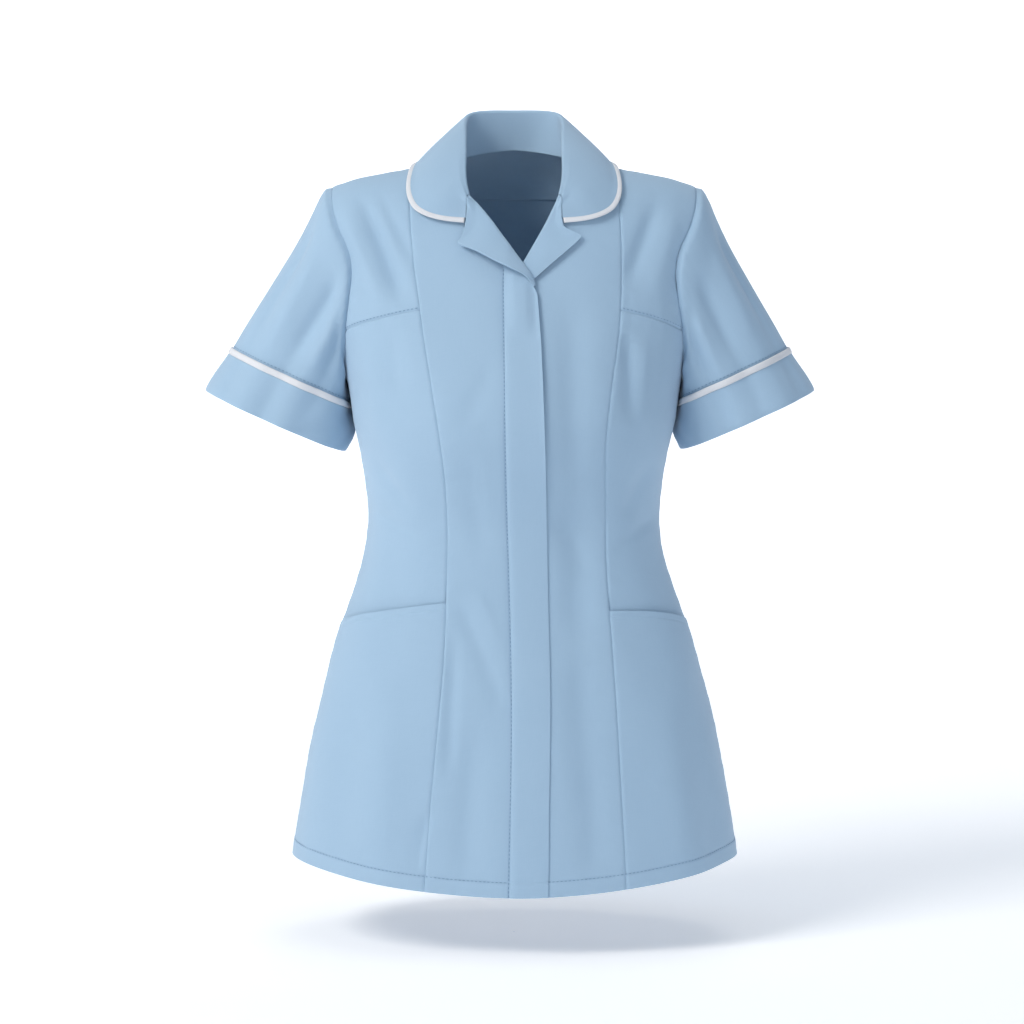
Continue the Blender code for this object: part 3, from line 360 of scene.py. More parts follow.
ARMHOLE_MIDDLE = -0.1225
ARMHOLE_HALF = 0.0925
ARMHOLE_FRONT = 0.0525
ARMHOLE_BACK = 0.0600

# The folds that the photograph shows on the front, and like ones on the back, as soft ridges and troughs.
FRONT_FOLDS = table(
    # start_x, start_z, end_x, end_z, half_width, height
    (-152, -34, -108, -140, 7.5, -7.2),
    (-168, -50, -128, -142, 7.5, 3.4),
    (-134, -30, -100, -100, 6, -3),
    (141, -42, 112, -122, 8, -4.6),
    (158, -55, 134, -135, 8, 2.2),
    (168, -85, 150, -158, 6, -1.8),
    (110, -176, 110, -250, 6.2, -4.2),
    (126, -180, 124, -262, 6, 1.8),
    (-118, -172, -112, -235, 8, -1.8),
    (-138, -190, -132, -270, 8, 1.4),
    (-58, -470, -64, -600, 6.5, -3),
    (-54, -432, -10, -535, 8.5, -2.2),
    (-36, -425, -12, -470, 6, 1.2),
    (-84, -638, -96, -690, 4.8, -2.2),
    (56, -150, 58, -330, 16, -4),
    (58, -330, 66, -470, 17, -5.2),
    (64, -480, 72, -620, 17, -3.6),
    (40, -352, 78, -410, 10, -1.8),
    (-45, -290, -30, -390, 12, -1.8),
    (-20, -200, -50, -262, 11, -1.4),
    (74, -600, 80, -690, 15, -3.4),
    (-150, -500, -170, -680, 15, -2.4),
    (-120, -520, -128, -690, 14, 1.8),
    (150, -520, 168, -690, 15, 2.2),
    (-40, -560, -46, -700, 15, -3.6),
    (-134, -300, -100, -345, 6.5, -2),
    (132, -300, 106, -352, 6.5, -2.2),
    (-138, -348, -85, -372, 6, -1.6),
    (138, -352, 98, -386, 6, -1.8),
)
BACK_FOLDS = table(
    # start_x, start_z, end_x, end_z, half_width, height
    (-120, -290, -30, -350, 8.5, -3.4),
    (118, -300, 35, -362, 8.5, -3.1),
    (-105, -340, -20, -385, 7.5, -2.8),
    (110, -350, 24, -398, 8, -2.8),
    (-90, -400, -15, -425, 8, -1.8),
    (-150, -80, -110, -200, 9, -3.2),
    (150, -85, 112, -205, 9, -3),
    (-60, -120, -20, -180, 11, -1.4),
    (64, -110, 24, -190, 11, -1.6),
    (-120, -480, -140, -690, 15, -3.2),
    (115, -500, 136, -700, 15, -3.2),
    (-45, -470, -50, -700, 16, 2.6),
    (50, -480, 56, -700, 16, 2.6),
)


def through(xs, ys, x):
    """A smooth curve through table points: a cubic whose slopes come from the neighbouring points."""
    xs, ys = np.asarray(xs), np.asarray(ys)
    slopes = np.gradient(ys, xs)
    x = np.clip(x, xs[0], xs[-1])
    i = np.clip(np.searchsorted(xs, x) - 1, 0, len(xs) - 2)
    span = xs[i + 1] - xs[i]
    t = (x - xs[i]) / span
    rise = (3 - 2 * t) * t * t
    ease_in = t * (1 - t) ** 2 * span * slopes[i]
    ease_out = -t * t * (1 - t) * span * slopes[i + 1]
    return ys[i] + (ys[i + 1] - ys[i]) * rise + ease_in + ease_out


def unit(vector):
    return vector / np.linalg.norm(vector, axis=-1, keepdims=True)


def smoothstep(t):
    t = np.clip(t, 0, 1)
    return t * t * (3 - 2 * t)


def curve(rows, at, column=1):
    return through(rows[:, 0], rows[:, column], at)


def half_width(z):
    return curve(TORSO, z)


def depth(z, back):
    return np.where(back, curve(TORSO, z, 3), curve(TORSO, z, 2))


def ridge(x):
    return curve(RIDGE, np.abs(x))


def rounding(x, z):
    fall = np.clip((ridge(x) - z) / SHOULDER_ROUNDING, 0, 1)
    return np.sqrt(1 - (1 - fall) ** 2)


def torso(turn, z):
    """A point of the torso form: turn is 0 at the front, 90 degrees at +X and 180 at the back."""
    side, face = np.sin(turn), np.cos(turn)
    x = half_width(z) * np.sign(side) * np.abs(side) ** (2 / SECTION_POWER)
    reach = depth(z, face < 0) * np.abs(face) ** (2 / SECTION_POWER)
    return np.stack([x, -np.sign(face) * reach * rounding(x, z), z + 0 * x], axis=-1)


def turn_at(x, z, back=False):
    turn = np.arcsin(np.clip(np.abs(x) / half_width(z), 0, 1) ** (SECTION_POWER / 2))
    return np.sign(x) * (math.pi - turn) if back else np.sign(x) * turn


def outward(turn, z):
    step = 1e-5
    across = torso(turn + step, z) - torso(turn - step, z)
    down = torso(turn, z - step) - torso(turn, z)
    return unit(np.cross(down, across))


def off_torso(turn, z, height):
    return torso(turn, z) + outward(turn, z) * np.asarray(height)[..., None]


def fold_height(x, z, folds):
    """How far the cloth stands off its even form at x and z, from a table of folds."""
    height = np.zeros(np.broadcast(x, z).shape)
    for start_x, start_z, end_x, end_z, width, rise in folds:
        run = np.array([end_x - start_x, end_z - start_z])
        length = np.linalg.norm(run)
        run = run / length
        along = ((x - start_x) * run[0] + (z - start_z) * run[1]) / length
        aside = (x - start_x) * run[1] - (z - start_z) * run[0]
        taper = smoothstep((along + 0.15) / 0.4) * smoothstep((1.15 - along) / 0.4)
        height = height + rise * np.exp(-(aside / width) ** 2) * taper
    return height


SWELL_HEIGHT = 0.00042
FLUTE_HEIGHT = 0.0014
FLUTES_FROM = -0.45


def drape(turn, z):
    """The unevenness of the cloth all over the torso: the folds and a slow swell."""
    point = torso(turn, z)
    x, back = point[..., 0], np.cos(turn) < 0
    facing = smoothstep((np.abs(np.cos(turn)) - 0.05) / 0.30)
    folds = np.where(back, fold_height(x, z, BACK_FOLDS), fold_height(x, z, FRONT_FOLDS)) * facing
    swell = np.sin(turn * 7 + 3 * np.sin(z * 17)) * np.sin(z * 29 + 1.3) + np.sin(turn * 13 + z * 24)
    clear_of_edge = smoothstep((ridge(x) - z) / 0.06)
    flutes = np.sin(turn * 9 + 0.7) * smoothstep((FLUTES_FROM - z) / 0.24)
    return (folds + swell * SWELL_HEIGHT + flutes * FLUTE_HEIGHT) * clear_of_edge


def arc_length(points, axis):
    """The distance along each row or column of a grid, from its start."""
    steps = np.linalg.norm(np.diff(points, axis=axis), axis=-1)
    start = np.zeros_like(np.take(steps, [0], axis=axis))
    return np.concatenate([start, np.cumsum(steps, axis=axis)], axis=axis)


def dress(thing, flat, finish):
    """Gives a mesh its flat map, with a place for each vertex, its finish and smooth faces."""
    corners = np.empty(len(thing.data.loops), dtype=np.int32)
    thing.data.loops.foreach_get("vertex_index", corners)
    layer = thing.data.uv_layers.new(name="flat")
    layer.data.foreach_set("uv", flat[corners].astype(np.float32).ravel())
    thing.data.shade_smooth()
    thing.data.materials.append(finish)


def shell(name, outer, inner, round_shape, flat, finish):
    """A closed thin wall between two grids, with its flat map, smooth but for its rims."""
    rows, columns = outer.shape[:2]
    loops = columns if round_shape else columns - 1
    index = np.arange(rows * columns).reshape(rows, columns)
    after = np.roll(index, -1, axis=1)
    quads = np.stack([index[:-1], index[1:], after[1:], after[:-1]], axis=-1)[:, :loops].reshape(-1, 4)
    count = rows * columns
    faces = [quads, quads[:, ::-1] + count]
    rims = [index[0], index[-1][::-1]]
    if round_shape:
        rims = [np.append(rim, rim[0]) for rim in rims]
    else:
        rims += [index[::-1, 0], index[:, -1]]
    faces += [np.stack([rim[:-1], rim[1:], rim[1:] + count, rim[:-1] + count], axis=-1) for rim in rims]
    faces = np.concatenate(faces)
    points = np.concatenate([outer.reshape(-1, 3), inner.reshape(-1, 3)])
    first = faces[0]
    normal = np.cross(points[first[1]] - points[first[0]], points[first[2]] - points[first[0]])
    if normal @ (outer[0, 0] - inner[0, 0]) < 0:
        faces = faces[:, ::-1]
    thing = mesh_object(name, points.tolist(), faces.tolist())
    dress(thing, np.tile(flat.reshape(-1, 2), (2, 1)), finish)
    rim_edges = {tuple(sorted(pair)) for rim in rims for pair in zip(rim[:-1].tolist(), rim[1:].tolist())}
    sharp = np.array([tuple(sorted(edge.vertices)) in rim_edges for edge in thing.data.edges])
    thing.data.attributes.new("sharp_edge", "BOOLEAN", "EDGE").data.foreach_set("value", sharp)
    return thing


def flat_map(points):
    """Each point's place on the flat cloth in metres, measured from the middle column."""
    across = arc_length(points, 1)
    across = across - across[:, [points.shape[1] // 2]]
    return np.stack([across, arc_length(points, 0)], axis=-1)


def declare(thing, points, node):
    """Rides on the tunic and replaces the frame's part, which it hides; the cut is worked out from the piece
    and its turnings, then kept nowhere.
    """
    across, down = arc_length(points, 1), arc_length(points, 0)
    width = across[:, -1].max() + 2 * TURNING
    length = down[-1].max() + 2 * TURNING
    edges = (np.diff(points, axis=1)[:-1], np.diff(points, axis=0)[:, :-1])
    area = np.linalg.norm(np.cross(*edges), axis=-1).sum()
    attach(thing, "tunic")
    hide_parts(node)
    area = min(max(area * CUT_SHARE, 0.31 * width * length), 0.98 * width * length)


def row_index(first, last):
    """Fractional row numbers that split each stretch between two lists of heights into short steps,
    and shorter ones at both ends."""
    lengths = np.maximum(np.abs(np.diff(first)), np.abs(np.diff(last)))
    parts = [i + np.arange(max(1, math.ceil(length / STEP))) / max(1, math.ceil(length / STEP))
             for i, length in enumerate(lengths)]
    near = np.concatenate([EDGE_STEPS, HEM_ROWS]) if first[-1] <= HEM_SIDE else EDGE_STEPS
    last = len(lengths)
    index = np.concatenate([*parts, [last], EDGE_STEPS / lengths[0], last - near / lengths[-1]])
    return np.unique(np.clip(index, 0, last))


def spread(values, index):
    return np.interp(index, np.arange(len(values)), values)


def column_share(width):
    """Shares across a panel, closer together at its two seams."""
    near = EDGE_STEPS / width
    return np.unique(np.concatenate([np.linspace(0, 1, math.ceil(width / STEP) + 1), near, 1 - near]))


def ruled(first, last, share, bow=None):
    across = share[None, :]
    turns = first[0][:, None] * (1 - across) + last[0][:, None] * across
    heights = first[1][:, None] * (1 - across) + last[1][:, None] * across
    if bow is not None:
        heights = heights + bow[:, None] * 4 * across * (1 - across)
    return turns, heights


def hem(x):
    return HEM_SIDE - HEM_DIP * (1 - (np.abs(x - HEM_CENTRE_X) / half_width(HEM_SIDE)) ** HEM_POWER)


def hang_to_hem(turns, heights):
    """Stretches the rows below the hip so that the last one lies on the hem line."""
    target = hem(torso(turns[-1], heights[-1])[:, 0])
    share = np.clip((heights - HIP_LINE) / (HEM_SIDE - HIP_LINE), 0, 1)
    return turns, heights + share * (target - heights[-1])[None, :]


def grooved(points, seams):
    """How far the wall sinks at its seams and ripples beside them. seams: top, bottom, first, last."""
    across, down = arc_length(points, 1), arc_length(points, 0)
    ways = [(down, across), (down[[-1]] - down, across), (across, down), (across[:, [-1]] - across, down)]
    sink = np.zeros(points.shape[:2])
    for number, ((away, along), sewn) in enumerate(zip(ways, seams)):
        if not sewn:
            continue
        sink = sink - GROOVE_DEPTH * np.clip(1 - away / GROOVE_WIDTH, 0, 1) ** 2
        short_wave, long_wave = PUCKER_WAVES
        wave = np.sin(along * short_wave + number * 2) + np.sin(along * long_wave + 1.1 + number)
        sink = sink + PUCKER_HEIGHT * wave * np.exp(-away / PUCKER_REACH) * (1 - np.exp(-away / GROOVE_WIDTH))
    return sink


def dented(away):
    """The furrow that a row of stitches draws in the cloth, where away is 0."""
    return -STITCH_DENT * np.exp(-(away / DENT_WIDTH) ** 2)


def hem_relief(points):
    """The turned hem stands off by a cloth below its stitching, which draws in and puckers it."""
    above = points[..., 2] - hem(points[..., 0])
    short_wave, long_wave = HEM_PUCKER_WAVES
    pucker = np.sin(points[..., 0] * short_wave) + np.sin(points[..., 0] * long_wave + 1.0)
    ripple = PUCKER_HEIGHT * pucker * np.exp(-np.abs(above - HEM_TURNING) / HEM_PUCKER_REACH)
    doubled = DOUBLE_CLOTH * smoothstep((HEM_TURNING - above) / 0.002)
    return HEM_DENT_SHARE * dented(above - HEM_TURNING) + doubled + ripple


def pull_in(points):
    """Shifts that part a piece from its neighbours along all four edges."""
    shift = np.zeros_like(points)
    shift[0] += unit(points[1] - points[0]) * SEAM_GAP
    shift[-1] += unit(points[-2] - points[-1]) * SEAM_GAP
    shift[:, 0] += unit(points[:, 1] - points[:, 0]) * SEAM_GAP
    shift[:, -1] += unit(points[:, -2] - points[:, -1]) * SEAM_GAP
    return shift


def panel(node, turns, heights, seams, lift=0.0, rests_on=()):
    """A body panel of even wall on the torso form, its outer face at the solid's plus lift."""
    points = torso(turns, heights)
    height = CLOTH + lift + drape(turns, heights) + grooved(points, seams) + hem_relief(points)
    shift = pull_in(points)
    outer = off_torso(turns, heights, height) + shift
    inner = off_torso(turns, heights, height - WALL) + shift
    thing = shell(node + "_cloth", outer, inner, False, flat_map(points), CLOTH_FINISH)
    declare(thing, points, node)
    return outer


def princess_x(side, z):
    return curve(PRINCESS[side], z)


def fly_x(z, column):
    return curve(FLY, z, column)


def zip_x(z):
    return (fly_x(z, 1) + fly_x(z, 2)) / 2


def roll_x(side, z):
    return curve(ROLL[side], z)


def inner_edge(side, z):
    """The neck edge, lapel fold and zip edge of a front, in that order down the body."""
    sign = -1 if side == "L" else 1
    neck = sign * curve(NECK_FRONT, z)
    fold = roll_x(side, z) + sign * ROLL_INSET
    closed = zip_x(z) + sign * ZIP_EDGE
    lower = np.minimum(fold, closed) if side == "L" else np.maximum(fold, closed)
    return np.where(z > NECK_FRONT[0, 0], neck, lower)


def armhole(angle, sign):
    """Turn and height on the armhole. Its angle runs from the shoulder over the front to the underarm."""
    z = ARMHOLE_MIDDLE + ARMHOLE_HALF * np.cos(angle)
    side = np.sin(angle)
    want = np.abs(side) * np.where(side > 0, ARMHOLE_FRONT, ARMHOLE_BACK)
    low, high = np.full(np.shape(z), 0.10), half_width(z)
    for _ in range(40):
        x = (low + high) / 2
        reach = depth(z, side < 0) * (1 - (x / half_width(z)) ** SECTION_POWER) ** (1 / SECTION_POWER)
        inside = reach * rounding(x, z) > want
        low, high = np.where(inside, x, low), np.where(inside, high, x)
    return np.where(side < 0, turn_at(sign * low, z, True), turn_at(sign * low, z)), z


SHOULDER_DROPS = [0.0, 0.0015, 0.006, 0.013, 0.023, 0.037, 0.056, 0.081, 0.110]
CHEST_ROWS = [CHEST_SEAM[0], -0.168, -0.188, -0.210, -0.240, -0.272, -0.305, -0.340, -0.375]
HIP_ROWS = [-0.480, -0.530, -0.580, HIP_LINE, HEM_SIDE]
EDGE_ROWS = [0.003, 0.0005, -0.0045, -0.0125, -0.0225, -0.0325, -0.0445, -0.062, -0.083, -0.107, -0.131,
             -0.158, -0.188, -0.222, -0.260, -0.298, -0.336, -0.375]
SIDE_ROWS = [-0.245, -0.275, -0.305, -0.340, -0.375]
SIDE_HIP_ROWS = [-0.500, -0.540, -0.585, HIP_LINE, HEM_SIDE]
CHEST_ANGLE = math.acos((CHEST_SEAM[1] - ARMHOLE_MIDDLE) / ARMHOLE_HALF)
CAP_ANGLES = np.append(np.radians([0, 14, 28, 42, 56, 70, 84, 98, 110]), CHEST_ANGLE)
UNDERARM_ANGLES = np.array([CHEST_ANGLE, math.radians(137), math.radians(154), math.pi])
UNDER_FLY = 0.0010
SEAM_STRAIGHT_TO = -0.03
SEAM_BLEND = 0.04
LAP_TAPER_FROM = 0.80
GAPE_REACH = 0.026
GAPE_SKEW = 1.7
GAPE_TAPER_FROM = 0.70
MOUTH_DENT_SHARE = 0.7
POCKET_FIRST_ROW = 0.034
FRONT_WIDTH = 0.09
YOKE_WIDTH = 0.08
SIDE_WIDTH = 0.13


def mouth_rows(side, at):
    level = POCKET_MOUTH[side][at]
    return [level + MOUTH_RAMP, level + MOUTH_LAP, level]


def seam_x(side, z):
    top = -SHOULDER_SEAM if side == "L" else SHOULDER_SEAM
    return top + (princess_x(side, z) - top) * smoothstep((SEAM_STRAIGHT_TO - z) / SEAM_BLEND)


def from_shoulder(rows):
    """Heights from the shoulder seam down, close together near the top."""
    return np.array([float(ridge(SHOULDER_SEAM)) - drop for drop in SHOULDER_DROPS] + rows)


def princess_edge(side, z):
    return turn_at(seam_x(side, z), z), z


def lay_on_shoulder(turns, heights, share, sign, back=False):
    """Puts a panel's first row on the shoulder line."""
    shoulder = SHOULDER_SEAM + (SHOULDER_TIP - SHOULDER_SEAM) * share
    heights[0] = ridge(shoulder)
    turns[0] = turn_at(sign * shoulder, heights[0], back)


def arm_edge(angles, side_z, index, sign):
    """The edge that a panel has at the armhole and, below it, at the side seam."""
    last = len(angles) - 1
    arm_turn, arm_z = armhole(spread(angles, np.clip(index, 0, last)), sign)
    at_arm = index < last
    return np.where(at_arm, arm_turn, sign * math.pi / 2), np.where(at_arm, arm_z, spread(side_z, index))


def front(side):
    """A centre front from the princess seam to the zip, with its neck and lapel edges."""
    seam_z = from_shoulder(CHEST_ROWS + mouth_rows(side, 0) + HIP_ROWS)
    edge_z = np.array(EDGE_ROWS + list(seam_z[len(EDGE_ROWS):]))
    index = row_index(seam_z, edge_z)
    seam_z, edge_z = spread(seam_z, index), spread(edge_z, index)
    edge = (turn_at(inner_edge(side, edge_z), edge_z), edge_z)
    turns, heights = hang_to_hem(*ruled(princess_edge(side, seam_z), edge, column_share(FRONT_WIDTH)))
    x = torso(turns, heights)[..., 0]
    lift = np.zeros(x.shape)
    if side == "L":
        past_stitching = smoothstep((x - fly_x(heights, 1)) / 0.002)
        lift = -UNDER_FLY * past_stitching * smoothstep((FLY_TOP - heights) / 0.01)
    node = {"L": "front_overlap", "R": "front_underlap"}[side]
    return panel(node, turns, heights, (True, False, True, False), lift)


def chest_yoke(side, sign):
    seam_z = from_shoulder(CHEST_ROWS[:1])
    index = row_index(seam_z, ARMHOLE_MIDDLE + ARMHOLE_HALF * np.cos(CAP_ANGLES))
    cap = armhole(spread(CAP_ANGLES, index), sign)
    share = column_share(YOKE_WIDTH)
    turns, heights = ruled(princess_edge(side, spread(seam_z, index)), cap, share)
    lay_on_shoulder(turns, heights, share, sign)
    down = arc_length(torso(turns, heights), 0)
    stitched = TOPSTITCH_SHARE * dented(down[[-1]] - down - TOPSTITCH_AWAY)
    panel(f"chest_yoke_{side}", turns, heights, (True, True, True, True), stitched)


def side_front(side, sign):
    """The panel under the arm, which steps in behind the pocket, and the pocket in the same plane."""
    seam_z = np.array(CHEST_ROWS + mouth_rows(side, 0) + HIP_ROWS)
    arm_z = ARMHOLE_MIDDLE + ARMHOLE_HALF * np.cos(UNDERARM_ANGLES)
    side_z = np.array([*arm_z, *SIDE_ROWS, *mouth_rows(side, 1), *SIDE_HIP_ROWS])
    mouth = len(side_z) - len(SIDE_HIP_ROWS) - 1
    index = row_index(seam_z, side_z)
    fine = np.concatenate([EDGE_STEPS, MOUTH_STITCH + np.linspace(-0.002, 0.002, 6)])
    index = np.unique(np.concatenate([index, mouth + fine / POCKET_FIRST_ROW]))
    seam = princess_edge(side, spread(seam_z, index))
    edge = arm_edge(UNDERARM_ANGLES, side_z, index, sign)
    bow = POCKET_MOUTH[side][2] * smoothstep(index - mouth + 3) * smoothstep(mouth + 1 - index)
    turns, heights = hang_to_hem(*ruled(seam, edge, column_share(SIDE_WIDTH), bow))
    from_princess = np.linspace(0, 1, turns.shape[1])[None, :]
    behind = LAP - (LAP - LAP_AT_SIDE) * smoothstep((from_princess - LAP_TAPER_FROM) / 0.15)
    behind = behind * smoothstep((index - (mouth - 2)) / 1.0)[:, None]
    panel(f"side_front_{side}", turns, heights, (True, False, True, True), -behind)
    below = index >= mouth
    away = arc_length(torso(turns[below], heights[below]), 0)
    gape = MOUTH_GAPE * np.exp(-away / GAPE_REACH) * np.sin(math.pi * from_princess ** GAPE_SKEW)
    gape = gape * (1 - smoothstep((from_princess - GAPE_TAPER_FROM) / 0.2))
    stitched = dented(away - MOUTH_STITCH) * MOUTH_DENT_SHARE
    panel(f"pocket_{side}", turns[below], heights[below], (False, False, True, True), gape + stitched,
          [f"side_front_{side}_cloth"])


def back_seam_x(z):
    return np.where(z > -0.05, SHOULDER_SEAM, curve(BACK_PRINCESS, z))


BACK_ROWS = [-0.150, -0.168, -0.188, -0.210, -0.240, -0.272, -0.305, -0.340, -0.375, -0.410, -0.440, -0.480,
             -0.530, -0.580, HIP_LINE, HEM_SIDE]
BACK_WAIST_ROWS = [-0.420, -0.462]
NECK_CURVE_DROP = 0.05
BACK_FAN_DROP = 0.14
FACING_BOTTOM = -0.039
FACING_DROP = 0.0024
FACING_SPREAD = 0.10


def side_back(side, sign):
    seam_z = from_shoulder(BACK_ROWS)
    cap = -np.concatenate([CAP_ANGLES[:-1], UNDERARM_ANGLES])
    side_z = np.array([*(ARMHOLE_MIDDLE + ARMHOLE_HALF * np.cos(cap)), *SIDE_ROWS, *BACK_WAIST_ROWS,
                       *SIDE_HIP_ROWS])
    index = row_index(seam_z, side_z)
    fine_seam_z = spread(seam_z, index)
    seam = (turn_at(sign * back_seam_x(fine_seam_z), fine_seam_z, True), fine_seam_z)
    share = column_share(SIDE_WIDTH)
    turns, heights = ruled(seam, arm_edge(cap, side_z, index, sign), share)
    lay_on_shoulder(turns, heights, share, sign, True)
    panel(f"side_back_{side}", *hang_to_hem(turns, heights), (True, False, True, True))


def neck_back(x):
    return curve(NECK_BACK, np.abs(x))


def back_centre():
    """The centre back, cut out at the neck, and the facing inside its neck."""
    inner = NECK_POINT * np.sin(np.linspace(-math.pi / 2, math.pi / 2, 41))
    outer = np.linspace(NECK_POINT, SHOULDER_SEAM, 11)[1:]
    columns = np.concatenate([-outer[::-1], inner, outer])
    columns = np.unique(np.concatenate([columns, -SHOULDER_SEAM + EDGE_STEPS, SHOULDER_SEAM - EDGE_STEPS]))
    top = np.where(np.abs(columns) < NECK_POINT, neck_back(columns), ridge(columns))
    rows = from_shoulder(BACK_ROWS)
    rows = spread(rows, row_index(rows, rows))
    drop = (rows[0] - rows)[:, None]
    curved = np.clip(1 - drop / NECK_CURVE_DROP, 0, 1)
    fanned = np.clip(1 - drop / BACK_FAN_DROP, 0, 1)
    top_bearing = turn_at(columns, top)
    evenly = (columns / SHOULDER_SEAM)[None, :]
    share = fanned * (top_bearing / top_bearing[-1])[None, :] + (1 - fanned) * evenly
    heights = rows[:, None] + curved * (top - top[0])[None, :]
    seam_bearing = turn_at(back_seam_x(rows), rows)
    turns, heights = hang_to_hem(math.pi - share * seam_bearing[:, None], heights)
    panel("back_centre", turns, heights, (False, False, True, True))
    middle = np.abs(columns) <= NECK_POINT * 0.96
    facing_top = heights[0][middle] - FACING_DROP
    down = np.linspace(0, 1, 24)[:, None]
    facing_z = facing_top[None, :] + (FACING_BOTTOM - facing_top)[None, :] * down
    facing_x = columns[middle][None, :] * (1 + FACING_SPREAD * down)
    facing_turns = math.pi - turn_at(facing_x, facing_z)
    panel("back_facing", facing_turns, facing_z, (False, False, False, False), -LAP, ["back_centre_cloth"])


SIDES = (("L", -1), ("R", 1))
for side, sign in SIDES:
    front(side)
    chest_yoke(side, sign)
    side_front(side, sign)
    side_back(side, sign)
back_centre()

# The fly: the left front's edge, stitched down beside the zip and free along its other edge, so that
# it hides the zip. It swells over the slider and its tab, which lie beneath.
FLY_WIDTH = 0.038
FLY_STITCH_IN = 0.0012
FLY_LIFT = 0.0017
FLY_BLEND = 0.0060
BUMP_HEIGHT = 0.0034
BUMP_HALF = 0.0140
ZIP_TOP = -0.1225
SLIDER_WIDTH = 0.0090
FLY_EDGE_STAND = 0.0027
FLY_EDGE_SETTLE = 0.0004


def fly_bump(x, z):
    across = smoothstep((BUMP_HALF - np.abs(x - zip_x(z))) / (BUMP_HALF - SLIDER_WIDTH / 2))
    above = smoothstep((FLY_TOP - z) / (FLY_TOP - ZIP_TOP))
    below = smoothstep((z - (ZIP_TOP - 0.060)) / 0.030)
    return BUMP_HEIGHT * across * above * below


def fly():
    rows = np.array([FLY_TOP, -0.098, -0.107, -0.119, -0.131, -0.145, -0.158, -0.172, *EDGE_ROWS[12:],
                     -0.418, -0.436, *HIP_ROWS])
    z = spread(rows, row_index(rows, rows))
    left = fly_x(z, 1)
    inset = ROLL_INSET * smoothstep((z - BREAK) / 0.014)
    right = np.where(z <= BREAK, fly_x(z, 2), np.minimum(roll_x("L", z) - inset, fly_x(z, 2)))
    x = left[:, None] + (right - left)[:, None] * column_share(FLY_WIDTH)[None, :]
    heights = np.repeat(z[:, None], x.shape[1], axis=1)
    turns, heights = hang_to_hem(turn_at(x, heights), heights)
    from_stitching = x - left[:, None]
    lift = (FLY_LIFT + fly_bump(x, heights)) * smoothstep(from_stitching / FLY_BLEND)
    dent = dented(from_stitching - FLY_STITCH_IN)
    standing = FLY_EDGE_STAND * smoothstep((heights + 0.40) / 0.16) - FLY_EDGE_SETTLE
    free_edge = standing * np.exp(-(right[:, None] - x) / 0.006)
    panel("fly", turns, heights, (False, False, False, False), lift + dent + free_edge,
          ["front_overlap_cloth", "front_underlap_cloth"])


fly()

# The zip: woven tapes, a closed nylon coil, and a plated slider with its flat tab, all under the fly.
# The tapes, slider and tab are the frame's own solids, and the coil is made of separate loops.
TAPE_BLUE = (0.33, 0.47, 0.64)
COIL_PITCH = 0.0012
COIL_LOOP = (0.0027, 0.0009, 0.0008)
COIL_SINK = -0.0003
SLIDER_CLEAR = 0.0035
ZIP_BOTTOM = -0.7105


def plated():
    finish = Finish("plated_zinc")
    place = finish.node("TexCoord")[3]
    fine = noise(finish, place, 2600.0, 3.0)
    tone = mix_colour(finish, noise(finish, place, 420.0, 4.0), (0.52, 0.54, 0.57), (0.78, 0.80, 0.82))
    return finish.dressed({"Base Color": tone, "Metallic": 1.0, "Roughness": fine * 0.25 + 0.22,
                           "Normal": relief(finish, fine, 0.12, 0.0001)})


def tape_finish():
    finish = Finish("zip_tape_weave")
    place = finish.node("TexCoord")[3]
    ribs, cross = [finish.node("TexWave", {"wave_type": "BANDS", "bands_direction": way},
                               {"Vector": place, "Scale": scale, "Distortion": 0.6, "Detail": 1.0})[0]
                   for way, scale in (("X", 300.0), ("Z", 480.0))]
    weave = ribs * cross
    tone = mix_colour(finish, weave, TAPE_BLUE, (0.44, 0.58, 0.76))
    return finish.dressed({"Base Color": tone, "Roughness": 0.8, "Normal": relief(finish, weave, 0.4)})


def coil_finish():
    finish = Finish("nylon_coil")
    cloud = noise(finish, finish.node("TexCoord")[3], 160.0, 3.0)
    tone = mix_colour(finish, cloud, (0.62, 0.72, 0.84), (0.74, 0.81, 0.90))
    return finish.dressed({"Base Color": tone, "Roughness": cloud * 0.15 + 0.32})


